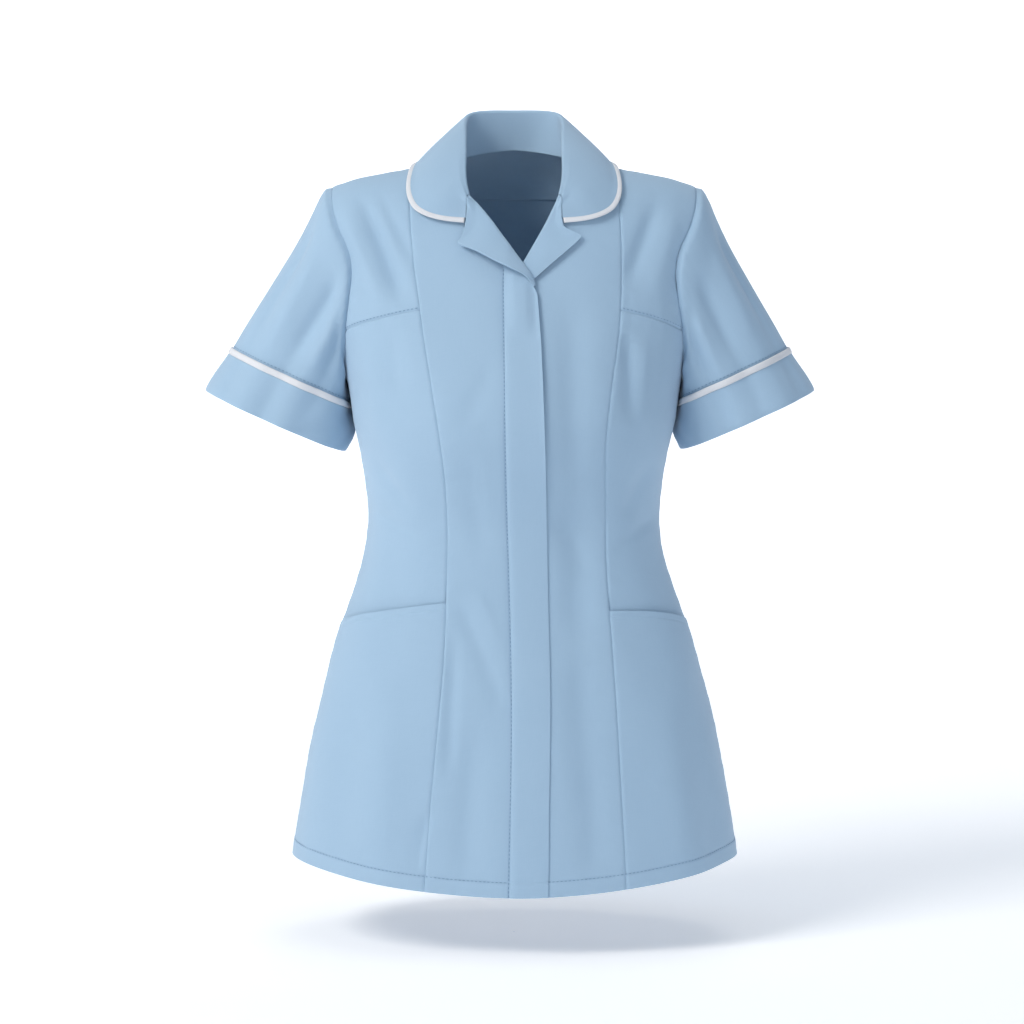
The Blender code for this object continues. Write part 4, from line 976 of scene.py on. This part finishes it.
def repeat_tree(name, tilt):
    """Sets small rounded blocks along a path, spaced by Pitch and sized by Size, lying along the path."""
    tree = bpy.data.node_groups.new(name, "GeometryNodeTree")
    face = tree.interface
    kinds = {"Geometry": "Geometry", "Pitch": "Float", "Size": "Vector", "Finish": "Material"}
    for item, kind in kinds.items():
        face.new_socket(item, in_out="INPUT", socket_type="NodeSocket" + kind)
    face.new_socket("Geometry", in_out="OUTPUT", socket_type="NodeSocketGeometry")

    def node(kind, settings=None, **values):
        made = tree.nodes.new(kind)
        for key, value in (settings or {}).items():
            setattr(made, key, value)
        for key, value in values.items():
            socket = made.inputs[key.replace("_", " ")]
            if isinstance(value, bpy.types.NodeSocket):
                tree.links.new(value, socket)
            else:
                socket.default_value = value
        return made.outputs

    given = node("NodeGroupInput")
    line = node("GeometryNodeMeshToCurve", Mesh=given["Geometry"])[0]
    spaced = node("GeometryNodeResampleCurve", {"mode": "LENGTH"}, Curve=line, Length=given["Pitch"])[0]
    tangent = node("GeometryNodeInputTangent")[0]
    turn = node("FunctionNodeAlignEulerToVector", {"axis": "X"}, Vector=tangent)[0]
    if tilt:
        turn = node("FunctionNodeRotateEuler", {"rotation_type": "EULER", "space": "LOCAL"},
                    Rotation=turn, Rotate_By=(0.0, 0.0, tilt))[0]
    ball = node("GeometryNodeMeshUVSphere", Segments=6, Rings=4, Radius=0.5)[0]
    put = node("GeometryNodeInstanceOnPoints", Points=spaced, Instance=ball, Rotation=turn,
               Scale=given["Size"])[0]
    real = node("GeometryNodeRealizeInstances", Geometry=put)[0]
    done = node("GeometryNodeSetMaterial", Geometry=real, Material=given["Finish"])[0]
    node("NodeGroupOutput", Geometry=done)
    return tree


def repeated(name, path, tree, pitch, size, finish):
    """The plain mesh that a repeat tree makes along a path."""
    guide = mesh_object(name + "_path", path.tolist(), [], [(i, i + 1) for i in range(len(path) - 1)])
    modifier = guide.modifiers.new("repeat", "NODES")
    modifier.node_group = tree
    values = {"Pitch": pitch, "Size": size, "Finish": finish}
    for item in tree.interface.items_tree:
        if item.in_out == "INPUT" and item.name in values:
            modifier[item.identifier] = values[item.name]
    bpy.context.view_layer.update()
    shape = bpy.data.meshes.new_from_object(guide.evaluated_get(bpy.context.evaluated_depsgraph_get()))
    bpy.data.objects.remove(guide, do_unlink=True)
    shape.name = name
    thing = placed(name, shape)
    shape.shade_smooth()
    return thing


def join(name, things):
    """One object from several meshes of the same finish."""
    with bpy.context.temp_override(active_object=things[0], selected_editable_objects=things,
                                   selected_objects=things):
        bpy.ops.object.join()
    things[0].name = name
    return things[0]


STITCH_TREE = repeat_tree("stitch_row", 0.0)
LOOP_TREE = repeat_tree("coil_row", math.pi / 2)


def zip_parts():
    metal, tape = plated(), tape_finish()
    solids = {"zip_slider": metal, "zip_pull": metal, "zip_tape_L": tape, "zip_tape_R": tape}
    for node, finish in solids.items():
        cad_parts[node].data.materials.clear()
        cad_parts[node].data.materials.append(finish)
    nylon = coil_finish()
    z = np.linspace(ZIP_TOP - SLIDER_CLEAR, ZIP_BOTTOM, 400)
    rows = []
    for sign in (-1, 1):
        x = zip_x(z) + sign * COIL_LOOP[0] * 0.42
        path = off_torso(turn_at(x, z), z, COIL_SINK + 0 * z)
        if sign > 0:
            path = path - np.array([0, 0, COIL_PITCH / 2])
        rows.append(repeated(f"coil_{'LR'[sign > 0]}", path, LOOP_TREE, COIL_PITCH, COIL_LOOP, nylon))
    coil = join("zip_coil", rows)
    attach(coil, "tunic")
    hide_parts("zip_chain")


zip_parts()

# The collar: a doubled revere collar on a stand, turned over at a soft fold, with rounded leaves whose
# edge is bound with a flat white piping. It is sewn to the neck edge and ends at the gorges.
COLLAR = table(
    # fold_x, fold_y, fold_z, edge_x, edge_y, edge_z, one row for each station from the gorge to the back
    (43.5, -66.5, -38.5, 47.8, -75.5, -66),
    (46, -63, -29, 69, -74.5, -63.6),
    (47.6, -57.8, -20.5, 86, -72, -59),
    (48.4, -51.2, -12.5, 98, -66, -52),
    (48.8, -43, -3.5, 104, -57, -41.5),
    (49.2, -32.5, 6, 105.6, -46.5, -30.5),
    (49.6, -18.5, 16, 104, -31, -19.5),
    (50, -2, 25.5, 101, -11, -9),
    (50.3, 16.5, 35, 95, 12, -6),
    (48, 37, 43.5, 81, 36, -5),
    (39, 49, 48, 60, 60, -4),
    (22, 54.5, 49.5, 32, 81, -2),
    (0, 56, 49.5, 0, 89, -0.5),
)
COLLAR_PIPING = 0.0056
FOLD_RADIUS = 0.0022
LEAF_BOW = 0.004
LEAF_CLEAR = CLOTH * 3 / 2 + 0.0026
NECK_EDGE_CLEAR = LEAF_CLEAR + 0.0020
COLLAR_WALL = 0.0013
LAY_SOFTNESS = 0.0012
STAND_TURNING = 0.0055
COLLAR_SET_IN = 0.0022
NECK_BACK_STATIONS = [0.0565, 0.0470, 0.0350, 0.0190, 0.0]
STAND_STEPS = 6
FOLD_STEPS = 8
LEAF_STEPS = 20
COLLAR_STEPS = 90
PIPING_HALF = 0.0028
PIPING_THICK = 0.0024
PIPING_SHORT = 0.0008
GORGE_GAP = 0.0006
PIPING_WHITE = (0.80, 0.80, 0.82)
PIPING_SHADE = (0.70, 0.71, 0.75)
STATIONS = np.arange(len(COLLAR))


def shoulders():
    """The torso form from the chest over the shoulder ridge to the back, as a surface to measure from."""
    rows, columns = 96, 120
    over = np.linspace(-1, 1, rows)[:, None]
    x = np.linspace(-0.170, 0.170, columns)[None, :] + 0 * over
    z = ridge(x) - 0.115 * over ** 2
    grid = torso(np.where(over > 0, turn_at(x, z, True), turn_at(x, z)), z)
    faces = [(row * columns + column, row * columns + column + 1,
              (row + 1) * columns + column + 1, (row + 1) * columns + column)
             for row in range(rows - 1) for column in range(columns - 1)]
    return BVHTree.FromPolygons(grid.reshape(-1, 3).tolist(), faces)


SHOULDERS = shoulders()


def lay_on_torso(points, clear):
    """Moves points that lie too near the torso form softly out from it."""
    laid = []
    for point, least in zip(points, np.broadcast_to(clear, len(points))):
        surface, normal, _, _ = SHOULDERS.find_nearest(point.tolist())
        short = least - (Vector(point) - surface).dot(normal)
        rise = (short + math.sqrt(short ** 2 + LAY_SOFTNESS ** 2)) / 2
        laid.append(point + np.array(normal) * rise)
    return np.array(laid)


def folded(start, crest, edge, along, facing, radius, bow=0.0, turning=0.0):
    """One section of cloth that turns over at a crest: a stretch up to it, a round fold and a leaf.

    turning is the length that runs on below the start."""
    out = unit(facing - along * (facing @ along))
    up = np.cross(out, along)
    if up @ (crest - (start + edge) / 2) < 0:
        up = -up
    centre = crest - up * radius

    def leave(point, branch):
        across, rise = (point - centre) @ out, (point - centre) @ up
        reach = math.hypot(across, rise)
        return branch * math.acos(-min(radius / reach, 1)) - math.atan2(rise, across)

    first, last = leave(start, -1), leave(edge, 1)
    first = (first + math.pi) % (2 * math.pi) - math.pi
    last = last % (2 * math.pi)
    turns = np.linspace(first, last, FOLD_STEPS + 1)
    arc = [centre + radius * (up * math.sin(turn) - out * math.cos(turn)) for turn in turns]
    below = -turning / np.linalg.norm(arc[0] - start)
    stand = [start + (arc[0] - start) * t for t in np.linspace(below, 1, STAND_STEPS + 1)[:-1]]
    swell = up * math.sin(last) - out * math.cos(last)
    leaf = [arc[-1] + (edge - arc[-1]) * t + swell * bow * 4 * t * (1 - t)
            for t in np.linspace(0, 1, LEAF_STEPS + 1)[1:]]
    return np.array(stand + arc + leaf)


def neck_stations():
    """The middle of the cloth at the neck edge, drawn into the neck hole, from the gorge to the back."""
    height = np.linspace(NECK_FRONT[0, 0], NECK_FRONT[-1, 0], 8)
    front_x = curve(NECK_FRONT, height)
    across = np.array(NECK_BACK_STATIONS)
    turns = np.concatenate([turn_at(front_x, height), turn_at(across, neck_back(across), True)])
    heights = np.concatenate([height, neck_back(across)])
    turns[-1] = math.pi
    points = off_torso(turns, heights, CLOTH / 2 + 0 * heights)
    normals = outward(turns, heights)
    along = unit(np.gradient(points, axis=0))
    inward = unit(np.cross(normals, along))
    inward *= np.sign(-np.sum(inward * points * np.array([1, 1, 0]), axis=1))[:, None]
    return points + inward * COLLAR_SET_IN


NECK = neck_stations()


def at_station(points, station):
    return np.stack([through(STATIONS, points[:, axis], station) for axis in range(3)], axis=-1)


def collar_section(station):
    crest = at_station(COLLAR[:, :3], station)
    along = unit(at_station(COLLAR[:, :3], min(station + 0.05, STATIONS[-1]))
                 - at_station(COLLAR[:, :3], max(station - 0.05, 0)))
    if station == STATIONS[-1]:
        along = np.array([-1.0, 0.0, 0.0])
    bearing = math.radians(-80 + 170 * station / STATIONS[-1])
    facing = np.array([math.cos(bearing), math.sin(bearing), 0])
    edge = at_station(COLLAR[:, 3:], station)
    inner = crest + (edge - crest) * (1 - COLLAR_PIPING / np.linalg.norm(edge - crest))
    section = folded(at_station(NECK, station), crest, inner, along, facing, FOLD_RADIUS,
                     LEAF_BOW * smoothstep(station / 2), STAND_TURNING * smoothstep((station - 5) / 3))
    leaf = slice(STAND_STEPS + FOLD_STEPS + 1, None)
    share = np.linspace(0, 1, LEAF_STEPS + 1)[1:]
    clear = LEAF_CLEAR + (NECK_EDGE_CLEAR - LEAF_CLEAR) * smoothstep((0.45 - share) / 0.25)
    section[leaf] = lay_on_torso(section[leaf], clear)
    return section, lay_on_torso([edge], LEAF_CLEAR)[0]


def eased(grid, passes):
    """Evens out a grid of points along its first axis, leaving its ends where they are."""
    grid = grid.copy()
    for _ in range(passes):
        grid[1:-1] = grid[1:-1] * 0.5 + (grid[2:] + grid[:-2]) * 0.25
    return grid


def thickened(name, grid, wall, finish):
    """A wall of even thickness on both sides of a grid of points."""
    normals = unit(np.cross(np.gradient(grid, axis=0), np.gradient(grid, axis=1)))
    return shell(name, grid + normals * wall / 2, grid - normals * wall / 2, False, flat_map(grid), finish)


def corded():
    """White piping: a fine slanting rib round a soft cord."""
    finish = Finish("white_piping")
    flat = finish.node("UVMap", {"uv_map": "flat"})[0]
    across, along, _ = finish.node("SeparateXYZ", {}, {0: flat})[:3]
    ribs = ((across * 1.2 + along) * (2 * math.pi / 0.0009)).math("SINE")
    share = (ribs * 0.2 + noise(finish, flat, 60.0, 3.0)).math("MINIMUM", 1.0)
    tone = mix_colour(finish, share, PIPING_SHADE, PIPING_WHITE)
    return finish.dressed({"Base Color": tone, "Roughness": 0.6, "Normal": relief(finish, ribs, 0.35)})


PIPING_FINISH = corded()


def piping(name, node, middle, across, normal, closed, half_wide, half_thick):
    """A flattened cord along a path, a little fuller at its outer side."""
    sides = 16
    turns = np.linspace(0, 2 * math.pi, sides, endpoint=False)
    wide = np.sign(np.cos(turns)) * np.abs(np.cos(turns)) ** 0.8
    tall = np.sign(np.sin(turns)) * np.abs(np.sin(turns)) ** 0.8 * (0.86 + 0.14 * np.cos(turns))
    rings = (middle[:, None] + across[:, None] * (wide * half_wide)[None, :, None]
             + normal[:, None] * (tall * half_thick)[None, :, None])
    count = len(middle)
    index = np.arange(count * sides).reshape(count, sides)
    if closed:
        index = np.vstack([index, index[:1]])
    after = np.roll(index, -1, axis=1)
    faces = np.stack([index[:-1], index[1:], after[1:], after[:-1]], axis=-1).reshape(-1, 4).tolist()
    if not closed:
        faces += [index[0].tolist(), index[-1][::-1].tolist()]
    thing = mesh_object(name, rings.reshape(-1, 3).tolist(), faces)
    shape = bmesh.new()
    shape.from_mesh(thing.data)
    bmesh.ops.recalc_face_normals(shape, faces=shape.faces)
    shape.to_mesh(thing.data)
    shape.free()
    flat = np.stack(np.meshgrid(arc_length(rings[0], 0), arc_length(middle, 0)), axis=-1)
    dress(thing, flat.reshape(-1, 2), PIPING_FINISH)
    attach(thing, "tunic")
    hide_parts(node)


def collar():
    stations = np.linspace(0, STATIONS[-1], COLLAR_STEPS + 1)
    halves = [np.array(half) for half in zip(*[collar_section(station) for station in stations])]
    grid, edges = [eased(np.concatenate([half * [-1, 1, 1], half[-2::-1]]), 6) for half in halves]
    thing = thickened("collar_cloth", grid, COLLAR_WALL, CLOTH_FINISH)
    declare(thing, grid, "collar")
    across = unit(edges - grid[:, -1])
    normal = unit(np.cross(np.gradient(edges, axis=0), across))
    middle = grid[:, -1] + across * (PIPING_HALF * 0.9)
    middle[0] += unit(middle[1] - middle[0]) * PIPING_SHORT
    middle[-1] += unit(middle[-2] - middle[-1]) * PIPING_SHORT
    piping("collar_cord", "collar_piping", middle, across, normal, False, PIPING_HALF, PIPING_THICK / 2)
    return grid, edges


collar_grid, collar_edges = collar()

# The lapels: the fronts' own top corners, turned back at the roll line. The left one lies over the
# fly's top and stands off a little along its lower edge. The right one is hidden below the left's fold.
LAPELS = {
    # roll_z, edge_x, edge_z, edge_height, bend, radius, one row for each station from the gorge to the break
    "L": table(
        (-41.2, -48.2, -67.2, 5, 0, 1.6),
        (-49, -50, -79, 5.8, 4.5, 1.6),
        (-58, -53.4, -87.4, 7.4, 4, 1.6),
        (-68, -37.3, -95.2, 11, 1.5, 1.6),
        (-80, -17.4, -106.8, 14, 0, 1.6),
        (-96, -2.4, -114.1, 14.6, 0, 1.6),
        (-112, 10.2, -120, 11.8, 0, 1.4),
        (-121.5, 15.8, -125.2, 7.8, 0, 1),
        (-127, 18.6, -128.8, 5.2, 0, 0.6),
    ),
    "R": table(
        (-41.2, 47.8, -67, 5, 0, 1.6),
        (-50, 49.2, -70.8, 5, 5, 1.6),
        (-59, 57.5, -75.2, 5.5, 7, 1.6),
        (-68, 64.5, -79.5, 6, 6.6, 1.6),
        (-75, 60.5, -85, 6, 4.4, 1.6),
        (-81, 50, -94.5, 6, 1.8, 1.6),
        (-87, 39.5, -103.5, 5.8, 0.6, 1.6),
        (-95, 29, -112.5, 5.2, 0, 1.4),
        (-103, 21.8, -119, 4.4, 0, 1.1),
        (-109, 16, -123, 3.2, 0, 0.8),
    ),
}
LAPEL_BEND_WAY = (-0.7, 0.0, -0.7)
LAPEL_CLEAR = CLOTH * 3 / 2 + 0.0003
LAPEL_SET_IN = 0.0011
LAPEL_BOW = 0.0006
GORGE_BLEND = 0.8
LAPEL_STEPS = 80
LAPEL_WALL = 0.0011


def gorge(side):
    """The collar's end section, run on to the outer edge of its piping, with the seam's gap."""
    at, beside = (0, 1) if side == "L" else (-1, -2)
    turned = STAND_STEPS + FOLD_STEPS
    lines = [np.vstack([collar_grid[i][turned:], collar_edges[i]]) for i in (at, beside)]
    shares = np.linspace(0, len(lines[0]) - 1, LEAF_STEPS + 1)[1:]
    places = np.arange(len(lines[0]))
    leaves = [np.stack([np.interp(shares, places, line[:, axis]) for axis in range(3)], axis=-1)
              for line in lines]
    end, before = [np.vstack([collar_grid[i][:turned + 1], leaf]) for i, leaf in zip((at, beside), leaves)]
    return end + unit(end - before) * GORGE_GAP


def lapel(side, sign):
    """A turned-back lapel, from the collar's end down to where the fronts cross."""
    count = len(LAPELS[side])
    rows = np.linspace(0, count - 1, LAPEL_STEPS + 1)
    roll_z, edge_x, edge_z, edge_height, bend, radius = [
        through(np.arange(count), column, rows) for column in LAPELS[side].T]
    fold_x = roll_x(side, roll_z)
    under = np.full(len(rows), CLOTH / 2)
    if side == "L":
        below = fold_x - ROLL_INSET
        under = under + smoothstep((below + 0.016) / 0.008) * (FLY_LIFT + fly_bump(below, roll_z))
    fold_turn = turn_at(fold_x, roll_z)
    crests = off_torso(fold_turn, roll_z, under + radius)
    edge = off_torso(turn_at(edge_x, edge_z), edge_z, edge_height)
    facing = outward(fold_turn, roll_z)
    along = unit(np.gradient(crests, axis=0))
    away = unit(np.cross(along, facing))
    away *= np.sign(away[:, :1] * sign)
    start = off_torso(fold_turn, roll_z, under) + away * (ROLL_INSET - LAPEL_SET_IN) * np.abs(away[:, :1])
    leaf = slice(STAND_STEPS + FOLD_STEPS + 1, None)
    share = np.linspace(0, 1, LEAF_STEPS + 1)[1:, None]
    bend_way = np.array(LAPEL_BEND_WAY) * np.array([sign, 1, 1])
    grid = []
    for i in range(len(rows)):
        section = folded(start[i], crests[i], edge[i], along[i], facing[i], radius[i], LAPEL_BOW)
        section[leaf] += bend_way * bend[i] * 4 * share * (1 - share)
        section[leaf] = lay_on_torso(section[leaf], LAPEL_CLEAR)
        grid.append(section)
    grid = np.array(grid)
    blend = smoothstep(1 - rows / GORGE_BLEND)[:, None, None]
    grid = grid + (gorge(side) - grid[0])[None] * blend
    thing = thickened(f"lapel_{side}_cloth", grid, LAPEL_WALL, CLOTH_FINISH)
    declare(thing, grid, f"lapel_{side}")


for side, sign in SIDES:
    lapel(side, sign)

# The sleeves: short, set in at the armhole with an easy head, falling straight to a cuff that is turned
# up outside and topped with piping.
CUFFS = {
    # outer_corner_x, outer_corner_z, inner_corner_x, inner_corner_z
    "L": (-0.3050, -0.232, -0.1728, -0.291),
    "R": (0.2970, -0.232, 0.1705, -0.289),
}
CUFF_HALF_DEPTH = 0.055
CUFF_BACK_SET = 0.012
CUFF_LENGTH = 0.050
PIPING_WIDTH = 0.0066
CAP_BULGE = 0.0030
CAP_REACH = 0.012
SLEEVE_LIFT = 0.00285
SLEEVE_SIDES = 160
SLEEVE_WALL = 0.0011
CUFF_STAND = 0.0016
CUFF_FLARE = 0.0026
CUFF_EDGE_ROLL = 0.0006
CUFF_STITCH_ABOVE = 0.0022
THREAD_ABOVE = 0.0001
SLEEVE_SLIM = 0.0030
HUG_ANGLE = math.radians(195)
HUG_SPREAD = math.radians(30)
HUG_CLEAR = 0.0016
HUG_CUFF_CLEAR = 0.0036
HUG_FADE = 0.75
HEAD_DROP = 0.0026
HEAD_REACH = 0.0060
SLEEVE_FOLDS = {
    # angle_at_the_head, angle_at_the_cuff, half_width, height, from
    "L": np.array([
        (26, 40, 8, -0.0040, 0.10), (50, 60, 8, 0.0034, 0.15), (78, 80, 8, -0.0062, 0.08),
        (100, 98, 8, 0.0030, 0.20), (120, 116, 8, -0.0026, 0.10),
        (146, 142, 14, 0.0030, 0.05), (-30, -40, 9, -0.0042, 0.12), (-62, -74, 9, 0.0034, 0.15),
        (-95, -104, 9, -0.0040, 0.2), (-130, -134, 9, 0.0026, 0.2),
    ]),
    "R": np.array([
        (22, 34, 8, -0.0040, 0.12), (44, 56, 8, 0.0028, 0.15), (68, 76, 7, -0.0046, 0.18),
        (92, 96, 8, 0.0034, 0.25), (112, 110, 7, -0.0034, 0.15), (142, 142, 14, 0.0030, 0.05),
        (-28, -38, 9, -0.0040, 0.12), (-60, -72, 9, 0.0032, 0.15),
        (-92, -102, 9, -0.0040, 0.2), (-128, -132, 9, 0.0026, 0.2),
    ]),
}


def sleeve_folds(side, angle, along):
    """Soft folds that run down a sleeve, fainter under the cuff's double cloth."""
    degrees = np.degrees((angle + math.pi) % (2 * math.pi) - math.pi)
    height = np.zeros(np.broadcast(angle, along).shape)
    for head, cuff, width, rise, begin in SLEEVE_FOLDS[side]:
        middle = head + (cuff - head) * along
        away = (degrees - middle + 180) % 360 - 180
        window = smoothstep((along - begin) / 0.25) * (1 - 0.55 * smoothstep((along - 0.62) / 0.3))
        height = height + rise * np.exp(-(away / width) ** 2) * window
    slow = 0.0004 * np.sin(angle * 5 + along * 7)
    return height + slow * smoothstep(along / 0.2)


def sleeve_form(side, sign, angle, along):
    """A point of a sleeve's even form, and the length of its line from armhole to hem."""
    turn, height = armhole(angle, sign)
    start = off_torso(turn, height, SLEEVE_LIFT + 0 * height)
    outer_x, outer_z, inner_x, inner_z = CUFFS[side]
    middle = np.array([(outer_x + inner_x) / 2, CUFF_BACK_SET, (outer_z + inner_z) / 2])
    half = np.array([(outer_x - inner_x) / 2, 0, (outer_z - inner_z) / 2])
    axis = unit(np.array([half[2] * sign, 0, -abs(half[0])]))
    round_it, flat_on = np.cos(angle)[..., None], np.sin(angle)[..., None]
    forward = np.array([0, -1.0, 0])
    end = middle + half * round_it + forward * CUFF_HALF_DEPTH * flat_on
    chord = end - start
    reach = np.linalg.norm(chord, axis=-1, keepdims=True)
    t = along[..., None]
    rise = (3 - 2 * t) * t * t
    point = start + chord * rise + chord * (t * (1 - t) ** 2) - axis * reach * (t * t * (1 - t))
    out = unit(half) * round_it + forward * flat_on
    walked = t * reach / CAP_REACH
    outer_side = (1 + round_it) / 2
    cuff_top = 1 - CUFF_LENGTH / reach
    slim = SLEEVE_SLIM * smoothstep(t / 0.35) * (1 - smoothstep((t - cuff_top) / (1 - cuff_top)))
    flare = CUFF_FLARE * smoothstep((t - cuff_top) / (1 - cuff_top))
    point = point + out * outer_side * (CAP_BULGE * walked * np.exp(1 - walked) - slim + flare)
    return hugged(point, sign, angle, along), reach[..., 0]


def hugged(point, sign, angle, along):
    """Draws the inner and rear side of a sleeve in towards the body's side."""
    z = np.minimum(point[..., 2], ARMHOLE_MIDDLE)
    deep = np.clip(np.abs(point[..., 1]) / depth(z, point[..., 1] > 0), 0, 0.9)
    over_cuff = smoothstep((along - 0.22) / 0.16)
    body_x = half_width(z) * (1 - deep ** SECTION_POWER) ** (1 / SECTION_POWER) + CLOTH
    body_x = body_x + HUG_CLEAR + (HUG_CUFF_CLEAR - HUG_CLEAR) * over_cuff
    away = (angle - HUG_ANGLE + math.pi) % (2 * math.pi) - math.pi
    near_cuff = smoothstep((along - 0.6) / 0.4)
    weight = np.exp(-(away / HUG_SPREAD) ** 2) * smoothstep(along / 0.15) * (1 - HUG_FADE * near_cuff)
    pull = np.clip(np.abs(point[..., 0]) - body_x, 0, None) * weight
    return point - np.stack([sign * pull, 0 * pull, 0 * pull], axis=-1)


def sleeve_surface(side, sign, angle, along):
    """Points and outward normals of the sleeve's even form."""
    step = 1e-4
    point = sleeve_form(side, sign, angle, along)[0]
    onward = sleeve_form(side, sign, angle, along + step)[0] - point
    round_it = sleeve_form(side, sign, angle + step, along)[0] - point
    return point, unit(np.cross(round_it, onward)) * sign


def tube(name, point, normal, inner, outer):
    """A sleeve or cuff wall between two heights over its form, and the form's closed grid."""
    around = np.concatenate([point, point[:, :1]], axis=1)
    walls = [point + normal * height[..., None] for height in (outer, inner)]
    return shell(name, *walls, True, flat_map(around)[:, :-1], CLOTH_FINISH), around


def sleeve(side, sign):
    angle = np.linspace(0, 2 * math.pi, SLEEVE_SIDES, endpoint=False)[None, :]
    reach = sleeve_form(side, sign, angle, 0 * angle)[1]
    cuff = 1 - CUFF_LENGTH / reach
    body = np.concatenate([[0, 0.004, 0.010, 0.018, 0.028, 0.042], np.linspace(0.06, 1, 34)])[:, None] * cuff
    turned = cuff + (1 - cuff) * np.linspace(0, 1, 14)[1:, None]
    along = np.concatenate([body, turned])
    wide = angle + 0 * along
    point, normal = sleeve_surface(side, sign, wide, along)
    walked = along * reach
    ease = PUCKER_HEIGHT * 1.4 * np.sin(angle * 46) * np.exp(-walked / 0.012)
    ease = ease * (1 - np.exp(-walked / 0.002))
    lift = sleeve_folds(side, wide, along / cuff.clip(0.1)) + ease * smoothstep(np.cos(angle) + 0.8)
    turn, height = armhole(angle, sign)
    point = point - outward(turn, height) * (HEAD_DROP * (1 - smoothstep(walked / HEAD_REACH)))[..., None]
    half = SLEEVE_WALL / 2
    thing, around = tube(f"sleeve_{side}_cloth", point, normal, lift - half, lift + half)
    declare(thing, around, f"sleeve_{side}")

    share = np.unique([*np.linspace(0, 1, 22), 0.01, 0.02, 0.985, 0.995])[:, None]
    top_of_cuff = 1 - (CUFF_LENGTH - PIPING_WIDTH - 0.0002) / reach
    along = top_of_cuff + (1 - top_of_cuff) * share
    wide = angle + 0 * along
    point, normal = sleeve_surface(side, sign, wide, along)
    fold = CUFF_EDGE_ROLL * (1 - smoothstep((1 - share) / 0.06))
    lift = sleeve_folds(side, wide, along / cuff) + SLEEVE_WALL / 2 + 0.0002 - fold
    slack = CUFF_STAND * (1 - share) * np.sin(angle) ** 2
    thing, around = tube(f"cuff_{side}_cloth", point, normal, lift + slack, lift + slack + WALL)
    declare(thing, around, f"cuff_{side}")

    ring_at = 1 - (CUFF_LENGTH - PIPING_WIDTH / 2) / reach
    point, normal = sleeve_surface(side, sign, angle, ring_at)
    lift = sleeve_folds(side, angle, ring_at / cuff) + SLEEVE_WALL / 2 + 0.0003 + PIPING_THICK / 2
    slack = CUFF_STAND * np.sin(angle) ** 2
    middle = (point + normal * (lift + slack)[..., None])[0]
    above = sleeve_form(side, sign, angle, ring_at - 0.001)[0]
    across = unit((above - point)[0])
    piping(f"cuff_cord_{side}", f"cuff_piping_{side}", middle, across, normal[0], True, PIPING_WIDTH / 2,
           PIPING_THICK / 2)
    row_at = 1 - (CUFF_LENGTH + CUFF_STITCH_ABOVE) / reach
    point, normal = sleeve_surface(side, sign, angle, row_at)
    lift = sleeve_folds(side, angle, row_at / cuff) + SLEEVE_WALL / 2 + THREAD_ABOVE
    row = (point + normal * lift[..., None])[0]
    return np.vstack([row, row[:1]])


cuff_rows = {side: sleeve(side, sign) for side, sign in SIDES}

# The stitching that shows: thread of the cloth's hue in short even stitches along the hem, the fly, the chest
# seams and above the cuffs, its colour painted darker than the cloth as the shade in the stitch furrows.
# Both thread tones are painted shade: the thread's blue darkened the way stitches look in their furrows.
THREAD_BLUE_PAINTED_SHADE = (0.15, 0.25, 0.40)
THREAD_PALE_PAINTED_SHADE = (0.22, 0.34, 0.50)
STITCH_PITCH = 0.0040
STITCH_SIZE = (0.0027, 0.00085, 0.00060)


def thread_painted_shade_finish():
    finish = Finish("blue_thread_painted_shade")
    strands = noise(finish, finish.node("TexCoord")[3], 900.0, 2.0)
    # The thread's tone wanders between two blues that are darkened as painted shade.
    tone = mix_colour(finish, strands, THREAD_BLUE_PAINTED_SHADE, THREAD_PALE_PAINTED_SHADE)
    return finish.dressed({"Base Color": tone, "Roughness": 0.55})


def on_cloth(turn, z, above):
    """Points a little above the body panels' outer face, folds included."""
    return off_torso(turn, z, CLOTH + above + drape(turn, z))


def stitching():
    painted_shade_thread = thread_painted_shade_finish()
    rows = []

    def sew(name, path):
        rows.append(repeated(name, path, STITCH_TREE, STITCH_PITCH, STITCH_SIZE, painted_shade_thread))

    turn = np.linspace(-math.pi, math.pi, 900)
    x = torso(turn, np.full(turn.shape, HEM_SIDE))[:, 0]
    level = hem(x) + HEM_TURNING
    gap = (x > fly_x(level, 1) - 0.001) & (np.cos(turn) > 0) & (x < fly_x(level, 2) + 0.001)
    for name, part in (("hem_a", turn < turn[gap][0]), ("hem_b", turn > turn[gap][-1])):
        sew(name, on_cloth(turn[part], level[part], THREAD_ABOVE))
    z = np.linspace(-0.112, HEM_SIDE - HEM_DIP + 0.002, 400)
    sew("fly_stitches", on_cloth(turn_at(fly_x(z, 1) + FLY_STITCH_IN, z), z, 2 * THREAD_ABOVE))
    for side, sign in SIDES:
        share = np.linspace(0.03, 0.97, 60)
        seam_turn = turn_at(seam_x(side, np.array(CHEST_SEAM[0])), CHEST_SEAM[0])
        arm_turn, arm_z = armhole(np.array(CHEST_ANGLE), sign)
        turns = seam_turn * (1 - share) + arm_turn * share
        z = CHEST_SEAM[0] * (1 - share) + arm_z * share + TOPSTITCH_AWAY
        sew(f"cuff_stitches_{side}", cuff_rows[side])
        sew(f"chest_stitches_{side}", on_cloth(turns, z, THREAD_ABOVE))
    whole = join("stitches", rows)
    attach(whole, "tunic")


stitching()
